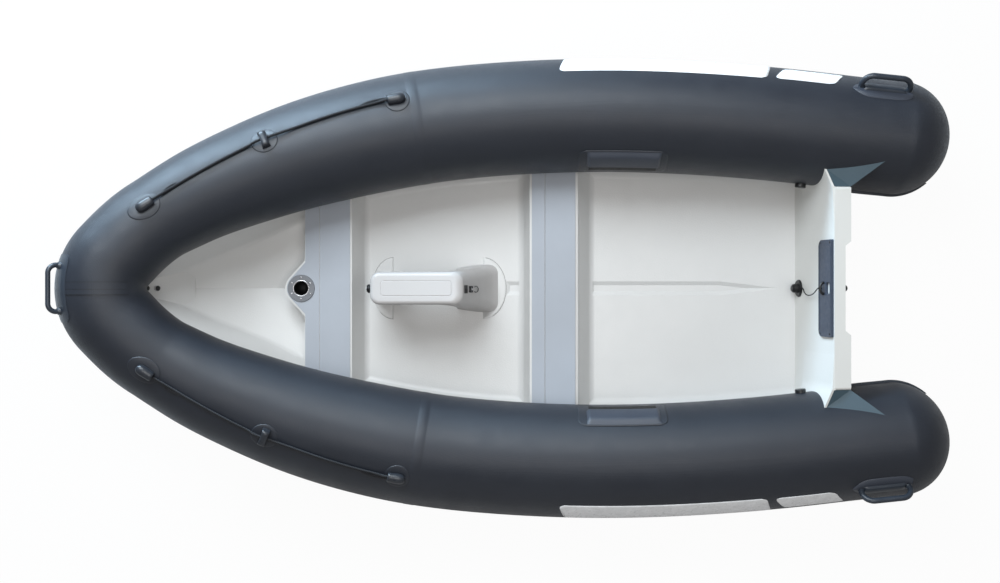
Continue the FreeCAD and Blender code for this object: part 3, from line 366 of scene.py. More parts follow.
def screw(work, matrix, radius=0.0034, rise=0.0014):
    """A domed cross-head screw."""
    sides = 20
    profile = [(radius * 0.55, rise * 0.86), (radius * 0.86, rise * 0.5), (radius, 0.0)]
    rings = [circle(work, matrix, r, z, sides) for r, z in profile]
    centre = work.verts.new(matrix @ Vector((0, 0, rise)))
    for k in range(sides):
        work.faces.new((centre, rings[0][k], rings[0][(k + 1) % sides]))
    join_loops(work, rings)
    work.faces.new(list(reversed(rings[-1])))
    for turn in (0.35, 0.35 + pi / 2):
        place = matrix @ Matrix.Translation((0, 0, rise * 0.93)) @ Matrix.Rotation(turn, 4, "Z")
        block(work, place, (radius * 1.1, radius * 0.16, rise * 0.3))


# Tubes

def tilted(forward, port, up):
    c, s = cos(NOSE_TILT), sin(NOSE_TILT)
    return Vector((forward * c - up * s, port, forward * s + up * c))


ELBOW_END_X = APEX_X + NOSE_BEND * cos(radians(NOSE_HALF_ANGLE)) * cos(NOSE_TILT)
SHEER_RATE = tan(NOSE_TILT) / 2 / (ELBOW_END_X - SHEER_START)


def tube_z(x):
    return TUBE_HEIGHT + SHEER_RATE * max(0.0, x - SHEER_START) ** 2


APEX = Vector((APEX_X, 0, tube_z(ELBOW_END_X) - (ELBOW_END_X - APEX_X) * tan(NOSE_TILT)))


def tube_r(x):
    share = min(1.0, max(0.0, (TAPER_START - x) / (TAPER_START - SEAM_X)))
    return NOSE_RADIUS + (TUBE_RADIUS - NOSE_RADIUS) * sin(pi / 2 * share)


def elbow_point(degrees):
    turn = radians(degrees)
    return APEX + tilted(cos(turn), sin(turn), 0) * NOSE_BEND


class Spline:
    """A cubic through points, with given directions at both ends."""

    def __init__(self, points, start, end):
        self.p = np.array([tuple(q) for q in points])
        self.h = np.linalg.norm(np.diff(self.p, axis=0), axis=1)
        self.u = np.concatenate([[0], np.cumsum(self.h)])
        count = len(self.p)
        a = np.zeros((count, count))
        b = np.zeros((count, 3))
        a[0, 0] = a[-1, -1] = 1
        b[0] = Vector(start).normalized()
        b[-1] = Vector(end).normalized()
        for i in range(1, count - 1):
            a[i, i - 1] = self.h[i]
            a[i, i] = 2 * (self.h[i - 1] + self.h[i])
            a[i, i + 1] = self.h[i - 1]
            back = (self.p[i] - self.p[i - 1]) / self.h[i - 1]
            ahead = (self.p[i + 1] - self.p[i]) / self.h[i]
            b[i] = 3 * (self.h[i] * back + self.h[i - 1] * ahead)
        self.m = np.linalg.solve(a, b)

    def at(self, u):
        i = int(min(max(np.searchsorted(self.u, u) - 1, 0), len(self.h) - 1))
        h = self.h[i]
        t = (u - self.u[i]) / h
        p0, p1, m0, m1 = self.p[i], self.p[i + 1], self.m[i] * h, self.m[i + 1] * h
        place = (2 * t**3 - 3 * t**2 + 1) * p0 + (t**3 - 2 * t**2 + t) * m0
        place = place + (3 * t**2 - 2 * t**3) * p1 + (t**3 - t**2) * m1
        slope = (6 * t**2 - 6 * t) * (p0 - p1) + (3 * t**2 - 4 * t + 1) * m0 + (3 * t**2 - 2 * t) * m1
        return Vector(place), Vector(slope).normalized()

    def length_at(self, x):
        """The spline's parameter where it passes x; x falls along it."""
        low, high = 0.0, self.u[-1]
        for _ in range(40):
            middle = (low + high) / 2
            if self.at(middle)[0].x > x:
                low = middle
            else:
                high = middle
        return low


side = radians(NOSE_HALF_ANGLE)
line = Spline(
    [elbow_point(NOSE_HALF_ANGLE)] + [Vector((x, y, tube_z(x))) for x, y in TUBE_LINE],
    tilted(-sin(side), cos(side), 0), (-1, -0.1, 0),
)


def across(aft):
    """Outboard and up for a direction along the tube."""
    outboard = -Vector((0, 0, 1)).cross(aft)
    outboard.normalize()
    return outboard, -aft.cross(outboard)


def station(x):
    centre, aft = line.at(line.length_at(x))
    outboard, up = across(aft)
    return centre, aft, outboard, up, tube_r(x)


def on_tube(x, degrees, height):
    """A point above the port tube's skin and the outward and aft directions there."""
    centre, aft, outboard, up, radius = station(x)
    turn = radians(degrees)
    outward = up * cos(turn) + outboard * sin(turn)
    return centre + outward * (radius + height), outward, aft


def tube_rings():
    """Centre, direction and radius of each ring from the nose to the after end, and the end's tip."""
    rings = []
    for degrees in np.arange(0, NOSE_HALF_ANGLE - 0.5, 2.0):
        turn = radians(float(degrees))
        rings.append((elbow_point(degrees), tilted(-sin(turn), cos(turn), 0), NOSE_RADIUS))
    end = float(line.u[-1])
    seam = line.length_at(SEAM_X)
    marks = {}
    for u in np.linspace(0, end, 190):
        if abs(u - seam) > SEAM_HALF + 2 * SEAM_EDGE:
            marks[round(float(u), 6)] = 0.0
    for way in (-1, 1):
        marks[seam + way * (SEAM_HALF + SEAM_EDGE)] = 0.0
        marks[seam + way * SEAM_HALF] = SEAM_RISE
    for u in sorted(marks):
        centre, aft = line.at(u)
        rings.append((centre, aft, tube_r(centre.x) + marks[u]))
    centre, aft = line.at(end)
    for lean in shares(31, 0, pi / 2)[1:-1]:
        out = CONE_LENGTH * sin(lean)
        lap = CAP_LAP if out < CAP_SEAM else 0.0
        rings.append((centre + aft * out, aft, TUBE_RADIUS * cos(lean) + lap))
    return rings, centre + aft * CONE_LENGTH


def make_tubes():
    rings, tip = tube_rings()
    vertices = []
    for centre, aft, radius in rings:
        outboard, up = across(aft)
        vertices += ring_round(centre, up, outboard, radius, SEGMENTS)
    last = len(vertices) - SEGMENTS
    faces = grid_faces(len(rings), SEGMENTS, closed=True)
    faces += [(last + k, last + (k + 1) % SEGMENTS, last + SEGMENTS) for k in range(SEGMENTS)]
    replaced = ("tube_bow", "tube_side", "tube_cone")
    pair_piece("air_tube", vertices + [tip], faces, tube_cloth, "tube_fabric", replaced)


make_tubes()


# Plates on the tubes

def tube_plate(name, ends, edges, height, material, slant=0.0, corner=0.03, thickness=0.0006):
    """A thin plate that follows the tube, with rounded corners; slant leans its ends, in metres.

    Its ends are given by their x, and its edges by their degrees from the tube's crown.
    """
    x_fore, x_aft = ends
    low, high = edges
    rows, columns = 61, 15
    half = radians(high - low) / 2 * TUBE_RADIUS
    vertices = []
    for share in shares(rows):
        for side_share in shares(columns, -1, 1):
            v = side_share * half
            inset = max(0.0, abs(v) - (half - corner))
            shrink = corner - sqrt(max(0.0, corner**2 - inset**2))
            x = (x_fore - shrink) + share * ((x_aft + shrink) - (x_fore - shrink)) + slant * side_share
            degrees = (low + high) / 2 + math.degrees(v / TUBE_RADIUS)
            vertices.append(on_tube(x, degrees, height)[0])
    for plate in pair_piece(name, vertices, grid_faces(rows, columns), material, "tube_fabric"):
        thick = plate.modifiers.new("thick", "SOLIDIFY")
        thick.thickness = thickness
        thick.offset = 1


tube_plate("long_plate", (-0.155, -0.776), (42, 73), 0.0006, plate_white, slant=-0.012, corner=0.016)
tube_plate("short_plate", (-0.807, -0.988), (43, 67), 0.0006, plate_white, slant=-0.020, corner=0.016)


# Grab ropes

ROPE_RADIUS = 0.0046
ROPE_SKIN_GAP = 0.001        # the rope above the tube's skin
ROPE_END = 0.013             # how far its ends reach into the end holders
ROPE_BOW = 0.008             # how far it bows outboard between two holders
STRAND_SWELL = 1.12          # strands pressed into one another
HOLDERS = [(1.0934, 11.2), (0.7458, 20.1), (0.3477, 24.1)]       # x and degrees outboard of the tube's crown
HOLDER_BORE_Z = 0.013        # the rope's axis above the tube, in a holder
HOLDER_REACH = 0.030         # from a holder's middle to where the rope leaves it


def over_tube(x, y, height):
    """The point above the port tube's skin at a place in plan."""
    centre, aft = line.at(line.length_at(x))
    for _ in range(12):
        off = Vector((x, y, 0)) - Vector((centre.x, centre.y, 0))
        centre, aft = line.at(line.length_at(centre.x + off.dot(aft) * aft.x))
    outboard, up = across(aft)
    radius = tube_r(centre.x) + height
    lean = min(0.98, max(-0.98, Vector((x - centre.x, y - centre.y, 0)).dot(outboard) / radius))
    return centre + (up * sqrt(1 - lean * lean) + outboard * lean) * radius


def through(holder, forward):
    """A point on the rope's axis ahead of a holder's middle."""
    point, _, aft = on_tube(*holder, HOLDER_BORE_Z)
    return point - aft * forward


def taut(start, end, share, beside=0.0):
    """A point on the rope's run over the tube between two holders."""
    place = start.lerp(end, share)
    bow = ROPE_BOW * sin(pi * share)
    return over_tube(place.x, place.y + bow + beside, ROPE_RADIUS + ROPE_SKIN_GAP)


def rope_route():
    """The rope's route over the port tube, straight through each holder."""
    points = [through(HOLDERS[0], ROPE_END)]
    for here, there in zip(HOLDERS, HOLDERS[1:]):
        start, end = through(here, -HOLDER_REACH), through(there, HOLDER_REACH)
        points.append(start)
        points += [taut(start, end, share) for share in (0.12, 0.25, 0.38, 0.5, 0.62, 0.75, 0.88)]
        points.append(end)
    points.append(through(HOLDERS[-1], -ROPE_END))
    return points


def spline_line(name, points):
    """The points along a NURBS spline, as Blender draws it."""
    curve = bpy.data.curves.new(name, "CURVE")
    curve.dimensions = "3D"
    spline = curve.splines.new("NURBS")
    spline.points.add(len(points) - 1)
    for place, point in zip(spline.points, points):
        place.co = (*point, 1)
    spline.order_u = 3
    spline.use_endpoint_u = True
    spline.resolution_u = 24
    holder = bpy.data.objects.new(name, curve)
    scene.collection.objects.link(holder)
    mesh = drawn(holder)
    result = [v.co.copy() for v in mesh.vertices]
    bpy.data.objects.remove(holder)
    bpy.data.meshes.remove(mesh)
    return result


def even(points, step):
    """The same line with points at even steps."""
    p = np.array([tuple(q) for q in points])
    run = np.concatenate([[0], np.cumsum(np.linalg.norm(np.diff(p, axis=0), axis=1))])
    count = max(2, int(run[-1] / step))
    at = np.linspace(0, run[-1], count + 1)
    return [Vector([np.interp(a, run, p[:, c]) for c in range(3)]) for a in at], float(run[-1])


def frames(points):
    """Each point of a line with two directions across it, without twist."""
    result = []
    normal = Vector((0, 0, 1))
    for i, point in enumerate(points):
        ahead = points[min(i + 1, len(points) - 1)] - points[max(i - 1, 0)]
        ahead.normalize()
        normal = (normal - ahead * normal.dot(ahead)).normalized()
        result.append((point, normal, ahead.cross(normal)))
    return result


def strand_rope(points, radius, lay, sides=8, step=0.0012):
    """Three strands twisted round a line: vertices and faces."""
    strands = 3
    places, length = even(points, step)
    vertices, faces = [], []
    small = radius / (1 + 1 / sin(pi / strands))
    offset = radius - small
    for strand in range(strands):
        middle = []
        for i, (point, n, b) in enumerate(frames(places)):
            turn = 2 * pi * (strand / strands + i * length / (len(places) - 1) / lay)
            middle.append(point + n * (cos(turn) * offset) + b * (sin(turn) * offset))
        start = len(vertices)
        for spot in frames(middle):
            vertices += ring_round(*spot, small * STRAND_SWELL, sides)
        for quad in grid_faces(len(middle), sides, closed=True):
            faces.append(tuple(start + k for k in reversed(quad)))
        faces.append(tuple(range(start, start + sides)))
        faces.append(tuple(reversed(range(len(vertices) - sides, len(vertices)))))
    return vertices, faces


grab_rope = strand_rope(spline_line("rope_route", rope_route()), ROPE_RADIUS, 0.026, sides=7, step=0.0022)
pair_piece("twisted_rope", *grab_rope, rope_dark, "rope", ["grab_rope"])


# Rope holders

HOLDER_PATCH = 0.038         # radius of the patch under each holder
HOLDER_PATCH_RISE = 0.0022
HOLDER_SINK = -0.002         # how deep a holder's foot sinks into its patch
BULLET_AXIS = 0.0125         # height of the bullet's middle
BULLET_SQUASH = 0.86         # its height to its breadth
BULLET_FOOT = 0.010          # its sides flare below this height
# x and radius along the bullet, from its mouth to its nose
BULLET = [
    (-0.027, 0.0085), (-0.029, 0.0125), (-0.026, 0.0150), (-0.020, 0.0148), (-0.010, 0.0156),
    (0.004, 0.0162), (0.013, 0.0152), (0.019, 0.0128), (0.023, 0.0092), (0.0250, 0.0048), (0.0256, 0.0005),
]
STRAP_HALF = 0.0265
STRAP_CROWN = 0.0235
STRAP_ROUND = 0.0022         # its rounded edge
STRAP_THICK = 0.0062


def tube_disc(x, degrees):
    """A round patch that follows the tube, with a thin rolled edge."""
    vertices = []
    turns = 40
    profile = [(0.2, 1), (0.6, 1), (0.93, 1), (0.975, 0.8), (1.0, 0)]
    for share, rise in profile:
        reach = HOLDER_PATCH * share
        for c, s in turned(turns):
            around = math.degrees(reach * s / tube_r(x))
            vertices.append(on_tube(x - reach * c, degrees + around, rise * HOLDER_PATCH_RISE)[0])
    faces = grid_faces(len(profile), turns, closed=True)
    faces.append(tuple(reversed(range(turns))))
    return vertices, faces


def tube_frame(x, degrees):
    """Local +X aft along the port tube, +Y outboard over its skin, +Z off it."""
    point, outward, aft = on_tube(x, degrees, 0.0)
    return placed(point, aft, outward.cross(aft), outward)


def bullet(x, degrees, nose):
    """A moulded end holder: a rounded bullet with a rolled mouth for the rope."""
    place = tube_frame(x, degrees)
    turns = 28
    vertices = []
    for along, radius in BULLET:
        for c, s in turned(turns):
            y = radius * c
            z = BULLET_AXIS + radius * BULLET_SQUASH * s
            if z < BULLET_FOOT:
                y *= 1 + (BULLET_FOOT - z) * 14
            vertices.append(place @ Vector((nose * along, y, max(z, HOLDER_SINK))))
    return vertices, grid_faces(len(BULLET), turns, True) + [tuple(range(turns))]


def strap(x, degrees):
    """The middle holder: a moulded bridge over the rope between two feet."""
    place = tube_frame(x, degrees)
    vertices = []
    rows, columns = 25, 7
    for share in shares(rows, -1, 1):
        y = STRAP_HALF * sin(share * pi / 2)
        crown = STRAP_CROWN * sqrt(max(0.0, 1 - abs(share) ** 3.2))
        wide = 0.0105 + 0.0022 * share**2
        shoulder = crown - STRAP_ROUND
        under = max(HOLDER_SINK, crown - STRAP_THICK)
        loop = [(-wide, shoulder), (STRAP_ROUND - wide, crown), (0, crown + 0.0008),
                (wide - STRAP_ROUND, crown), (wide, shoulder), (wide, under), (-wide, under)]
        vertices += [place @ Vector((along, y, z - 0.001)) for along, z in loop]
    ends = [tuple(range(columns)), tuple(reversed(range((rows - 1) * columns, rows * columns)))]
    return vertices, grid_faces(rows, columns, closed=True) + ends


def tail_rope(start, end, first, last, offset):
    """The rope's spliced tail, lying beside it."""
    points = []
    for part in shares(10):
        share = first + (last - first) * part
        points.append(taut(start, end, share, offset * sin(pi * part) ** 0.6))
    route = spline_line("tail_route", points)
    return strand_rope(route, ROPE_RADIUS * 0.9, 0.024, sides=6, step=0.0024)


def make_holders():
    for name, (x, degrees) in zip(("fore", "middle", "aft"), HOLDERS):
        pair_piece("holder_patch_" + name, *tube_disc(x, degrees), patch_cloth, "tube_fabric")
        form = strap(x, degrees) if name == "middle" else bullet(x, degrees, 1 if name == "aft" else -1)
        pair_piece("holder_" + name, *form, holder_rubber, "handle_rubber", ["rope_holder_" + name])
    for name, here, there, first, last in (("fore", 0, 1, 0.0, 0.17), ("aft", 1, 2, 0.70, 1.0)):
        start, end = through(HOLDERS[here], -HOLDER_REACH), through(HOLDERS[there], HOLDER_REACH)
        pair_piece("rope_tail_" + name, *tail_rope(start, end, first, last, 0.0085), rope_dark, "rope")


make_holders()


# Seat board pockets

POCKET_ENDS = (-0.226, -0.460)
POCKET_OUTER = -46.3         # degrees of its outboard edge and its mouth from the tube's crown
POCKET_MOUTH = -66.0
POCKET_BASE = 0.0014         # its skin above the tube at its edge
POCKET_RISE = 0.0085


def make_pockets():
    fore, aft = POCKET_ENDS
    end_blend = 0.011
    edge_blend = 0.34
    rows, columns = 61, 22
    vertices = []
    for share in shares(rows):
        x = fore + (aft - fore) * share
        end_rise = sin(pi / 2 * min(1.0, min(share, 1 - share) * (fore - aft) / end_blend))
        for over in shares(columns):
            edge_rise = sin(pi / 2 * min(1.0, over / edge_blend))
            height = POCKET_BASE + POCKET_RISE * end_rise**0.8 * edge_rise**1.2
            vertices.append(on_tube(x, POCKET_OUTER + (POCKET_MOUTH - POCKET_OUTER) * over, height)[0])
        for beyond, part in ((-0.5, 0.72), (3.0, 0.60)):
            height = POCKET_BASE + POCKET_RISE * part * end_rise
            vertices.append(on_tube(x, POCKET_MOUTH + beyond, height)[0])
    pair_piece("pocket", vertices, grid_faces(rows, columns + 2), trim_cloth, "tube_fabric", ["seat_pocket"])
    # A near-black strip along the pocket's mouth, painted shade of the slot's opening.
    inset = 0.008
    profile = [(3.2, 0.0030), (-4.0, 0.0030), (-12.0, 0.0026), (-13.5, 0.0012)]
    rows = 40
    vertices = []
    for x in shares(rows, fore - inset, aft + inset):
        vertices += [on_tube(x, POCKET_MOUTH + beyond, height)[0] for beyond, height in profile]
    pair_piece("pocket_mouth_shade", vertices, grid_faces(rows, len(profile)), painted_shade_black, "black_plastic")
    tube_plate("pocket_patch", (-0.197, -0.482), (-82.0, -44.0), 0.0004, patch_cloth, corner=0.026,
               thickness=0.0009)


make_pockets()


# Stern handles

HANDLE_X = -1.122
HANDLE_LEAN = 46.0           # degrees outboard of the tube's crown
HANDLE_HALF = 0.070          # half the distance between its feet
HANDLE_SPLAY = 0.004         # how far its bar reaches past its feet
HANDLE_BOW = 0.008           # how far its bar bows outboard
HANDLE_STAND = 0.047
HANDLE_CORNER = 0.034
HANDLE_ROD = 0.0088
PATCH_LEAN = HANDLE_LEAN - 4
PATCH_LENGTH = 0.100
PATCH_BREADTH = 0.033


def handle_route():
    """The bar's line in its own frame, foot to foot."""
    reach = HANDLE_HALF + HANDLE_SPLAY
    inner = reach - HANDLE_CORNER
    foot = [Vector((-HANDLE_HALF, 0, -0.006)), Vector((-HANDLE_HALF - HANDLE_SPLAY / 2, 0.002, 0.004))]
    for part in shares(10):
        turn = pi / 2 * part
        x = HANDLE_CORNER * (1 - cos(turn)) - reach
        z = HANDLE_STAND - HANDLE_CORNER * (1 - sin(turn))
        foot.append(Vector((x, HANDLE_BOW / 2 * (1 + part), z)))
    bar = [Vector((inner * (k / 4 - 1), HANDLE_BOW, HANDLE_STAND)) for k in range(1, 8)]
    return foot + bar + [Vector((-x, y, z)) for x, y, z in reversed(foot)]


def make_stern_handles():
    """Moulded carrying handles: a bowed bar on a long pointed patch with a raised sill between its feet."""
    place = tube_frame(HANDLE_X, HANDLE_LEAN)
    places, _ = even([place @ p for p in handle_route()], 0.003)
    turns = 20
    vertices = []
    for i, spot in enumerate(frames(places)):
        share = i / (len(places) - 1)
        foot = max(0.0, 1 - min(share, 1 - share) / 0.07)
        vertices += ring_round(*spot, HANDLE_ROD * (1 + 0.75 * foot * foot), turns)
    faces = grid_faces(len(places), turns, closed=True)
    pair_piece("handle_bar", vertices, faces, handle_rubber, "handle_rubber", ["stern_handle"])
    profile = [(-1, 0.0), (-0.97, 0.0018), (0, 0.0022), (0.97, 0.0018), (1, 0.0)]
    rows = 41
    vertices = []
    for share in shares(rows, -1, 1):
        breadth = PATCH_BREADTH * (1 - abs(share) ** 4.5) + 0.0015
        for side_share, height in profile:
            around = math.degrees(breadth * side_share / TUBE_RADIUS)
            vertices.append(on_tube(HANDLE_X - PATCH_LENGTH * share, PATCH_LEAN + around, height)[0])
    pair_piece("handle_patch", vertices, grid_faces(rows, len(profile)), trim_cloth, "tube_fabric")
    profile = [(-1.1, -0.001), (-1, 0.007), (-0.6, 0.0105), (0.6, 0.0105), (1, 0.007), (1.1, -0.001)]
    sill_half = 0.013
    rows = 25
    vertices = []
    for share in shares(rows, -1, 1):
        end = sqrt(max(0.0, 1 - abs(share) ** 8))
        for side_share, height in profile:
            x = share * (HANDLE_HALF - HANDLE_SPLAY)
            vertices.append(place @ Vector((x, side_share * sill_half + HANDLE_BOW / 2, height * end)))
    pair_piece("handle_sill", vertices, grid_faces(rows, len(profile)), handle_rubber, "handle_rubber")


make_stern_handles()


# Nose tape

TAPE_HALF = 0.0185
TAPE_LEANS = (-36, 56)       # degrees of its ends from the nose's crown


def on_nose(degrees, y, height):
    """A point above the nose's skin, at a lean from its crown towards the bow and a breadth."""
    lean = radians(degrees)
    reach = NOSE_BEND + (NOSE_RADIUS + height) * sin(lean)
    turn = asin(max(-0.95, min(0.95, y / reach)))
    radial = tilted(cos(turn), sin(turn), 0)
    outward = tilted(0, 0, 1) * cos(lean) + radial * sin(lean)
    return elbow_point(math.degrees(turn)) + outward * (NOSE_RADIUS + height)


def make_nose_tape():
    """The tape over the tubes' joint at the nose, with its stitched edges and middle seam."""
    rows = 50
    inner, outer = TAPE_HALF - 0.0005, TAPE_HALF + 0.0007
    for name, low, high, height, material in (
        ("nose_tape", -TAPE_HALF, TAPE_HALF, 0.0012, tube_cloth),
        ("nose_edge_port", inner, outer, 0.0015, seam_dark),
        ("nose_edge_starboard", -outer, -inner, 0.0015, seam_dark),
        ("nose_seam", 0.0022, 0.0034, 0.0015, seam_dark),
    ):
        vertices = []
        for degrees in shares(rows, *TAPE_LEANS):
            vertices += [on_nose(degrees, y, height) for y in (low, (low + high) / 2, high)]
        tape = add_piece(name, mesh_of(name, vertices, grid_faces(rows, 3)), material)
        if name == "nose_tape":
            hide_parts("nose_strip")


make_nose_tape()


# Centre pod

POD_TOP = 0.275 + LIFT
POD_FORE = 0.4405            # x of its top's ends
POD_AFT = 0.158
POD_HALF = 0.0505
POD_CORNER = 0.030
POD_RIM = 0.013              # the rounding of its top edge
POD_SLOPE = 0.104            # how far its after slope runs aft of its top
POD_FLARE = 0.024            # how much wider its after foot is each side
POD_FLARE_START = 0.285
POD_FLARE_RUN = 0.20
PANEL_ENDS = (0.4065, 0.190)
PANEL_HALF = 0.0225
PANEL_CORNER = 0.009
FORE_FOOT = (0.392, 0.070, 1)        # x of a foot's straight edge, its reach from there and its way
AFT_FOOT = (0.096, 0.076, -1)
FOOT_HALF = 0.101
LATCH_Y = 0.003
LATCH_X = 0.133
STOP_X = 0.4455
STOP_Z = 0.290


def rounded_half(x_fore, x_aft, half_at, corner):
    """Half of a level outline, from its fore end's middle round to its after end's."""
    points = []
    front = half_at(x_fore - corner) - corner
    for k in range(6):
        points.append((x_fore, front * k / 6))
    for c, s in turned(40)[:11]:
        points.append((x_fore - corner + corner * c, front + corner * s))
    for k in range(1, 36):
        x = x_fore - corner + (x_aft + corner - x_fore + corner) * k / 36
        points.append((x, half_at(x)))
    back = half_at(x_aft + corner) - corner
    for c, s in turned(40)[:11]:
        points.append((x_aft + corner - corner * s, back + corner * c))
    for k in range(1, 7):
        points.append((x_aft, back * (1 - k / 6)))
    return points


def pod_half(share, inset):
    """The pod's body at a share of its height: a flared after foot under a narrow top."""
    low = 1 - share
    spread = max(0.0, 1 - share / 0.14) ** 2

    def half_at(x):
        flare = min(1.0, max(0.0, (POD_FLARE_START - x) / POD_FLARE_RUN))
        return POD_HALF + POD_FLARE * low * flare * flare * (3 - 2 * flare) + 0.005 * spread - inset

    x_fore = POD_FORE + 0.012 * low + 0.004 * spread - inset
    x_aft = POD_AFT - POD_SLOPE * low - 0.010 * spread + 1.9 * inset
    return rounded_half(x_fore, x_aft, half_at, POD_CORNER - inset)


def pod_panel(grow):
    fore, aft = PANEL_ENDS
    return rounded_half(fore + grow, aft - grow, lambda x: PANEL_HALF + grow, PANEL_CORNER + grow)


def add_loop(work, half, z):
    whole = half + [(x, -y) for x, y in reversed(half[1:-1])]
    return [work.verts.new((x, y, z)) for x, y in whole]


def pod_form(work):
    """The pod's closed body, with a shallow panel in its top."""
    low = FLOOR_Z - 0.001
    tall = POD_TOP - low
    loops = []
    for share in [0, 0.02, 0.045, 0.075, 0.11, 0.15] + [0.15 + 0.8 * k / 18 for k in range(1, 19)]:
        z = low + share * tall
        if z < POD_TOP - POD_RIM:
            loops.append(add_loop(work, pod_half(share, 0.0), z))
    for c, s in turned(32)[:9]:
        z = POD_TOP - POD_RIM + POD_RIM * s
        loops.append(add_loop(work, pod_half((z - low) / tall, POD_RIM * (1 - c)), z))
    for grow, drop in ((0.0022, 0.0), (0.0012, -0.0009), (0.0, -0.0009), (-0.0010, 0.0004)):
        loops.append(add_loop(work, pod_panel(grow), POD_TOP + drop))
    join_loops(work, loops)
    work.faces.new(loops[-1])
    work.faces.new(list(reversed(loops[0])))


def arch_cutter(work):
    """The opening under the pod, across the boat."""
    back, front, top, corner = 0.180, 0.372, 0.150 + LIFT, 0.070
    lean = 0.006
    breadth = 0.2
    outline = [(back, FLOOR_Z - 0.02), (front, FLOOR_Z - 0.02)]
    for c, s in turned(48)[:13]:
        outline.append((front - lean - corner + corner * c, top - corner + corner * s))
    for c, s in turned(48)[:13]:
        outline.append((back + lean + corner - corner * s, top - corner + corner * c))
    near, far = [[work.verts.new((x, y, z)) for x, z in outline] for y in (-breadth, breadth)]
    join_loops(work, [near, far])
    work.faces.new(near)
    work.faces.new(list(reversed(far)))


def foot_arc(foot, grow, low, high, count):
    """Points round a foot's edge between two angles."""
    x, reach, way = foot
    return [(x + (reach + grow) * cos(turn) * way, (FOOT_HALF + grow) * sin(turn))
            for turn in shares(count, radians(low), radians(high))]


def make_pod():
    whole = bpy.data.objects.new("pod_whole", mesh_from("pod_whole", pod_form))
    cutter = bpy.data.objects.new("arch_cutter", mesh_from("arch_cutter", arch_cutter))
    for part in (whole, cutter):
        scene.collection.objects.link(part)
    cut = whole.modifiers.new("arch", "BOOLEAN")
    cut.operation = "DIFFERENCE"
    cut.solver = "EXACT"
    cut.object = cutter
    mesh = drawn(whole)
    bpy.data.objects.remove(whole)
    bpy.data.objects.remove(cutter)
    pod = add_piece("pod_body", mesh, pod_white_shaded)
    split = pod.modifiers.new("crisp", "EDGE_SPLIT")
    split.split_angle = radians(34)
    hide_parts("centre_pod")

    def flanges(work):
        for foot in (FORE_FOOT, AFT_FOOT):
            loops = []
            for inset, z in ((0.0, -0.001), (0.0, 0.0010), (0.0010, 0.0018), (0.0040, 0.0022)):
                arc = foot_arc(foot, -inset, -90, 90, 33)
                loops.append([work.verts.new((x, y, FLOOR_Z + z)) for x, y in arc])
            join_loops(work, loops)
            work.faces.new(loops[-1])

    def seams(work):
        for foot, low, high in ((FORE_FOOT, -90, -28), (FORE_FOOT, 52, 90), (AFT_FOOT, -84, 66)):
            arcs = [foot_arc(foot, grow, low, high, 41) for grow in (0.0002, 0.0011)]
            inner, outer = [[work.verts.new((x, y, FLOOR_Z + 0.0006)) for x, y in arc] for arc in arcs]
            for k in range(40):
                work.faces.new((inner[k], outer[k], outer[k + 1], inner[k + 1]))

    fitting("pod_flanges", flanges, deck_white)
    fitting("pod_seams", seams, seam_grey)


make_pod()


# Transom fittings and the plug's lanyard

PAD_FACE = 0.0079            # the motor pad's face off the transom


def transom_frame(height, y, off):
    """Local +Z off the inner face, +Y up the slope, at a height up it, a breadth and a stand-off."""
    c, s = cos(TRANSOM_RAKE), sin(TRANSOM_RAKE)
    out = Vector((c, 0, s))
    up = Vector((-s, 0, c))
    place = TRANSOM_FOOT + Vector((off * c - height * s, y, off * s + height * c))
    return placed(place, up.cross(out), up, out)


def make_lanyard():
    points = [
        (0.061, 0, 0.003), (0.0695, 0, 0.003), (0.081, 0.005, 0.0055), (0.096, 0.0135, 0.009),
        (0.116, 0.0205, 0.0115), (0.140, 0.023, 0.012), (0.164, 0.0205, 0.012), (0.187, 0.0135, 0.013),
        (0.208, 0.006, 0.016), (0.2288, 0, 0.0205), (0.2418, 0, 0.0205),
    ]
    route = [transom_frame(*p).to_translation() for p in points]
    places = spline_line("lanyard_route", route)
    _, length = even(places, 0.002)
    strands = strand_rope(places, 0.00175, 0.009, sides=6, step=0.001)
    cord = add_piece("twisted_lanyard", mesh_of("twisted_lanyard", *strands), rope_dark)
    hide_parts("plug_lanyard")
    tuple(route[0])
    [tuple(p) for p in places]


make_lanyard()


# Pod fittings

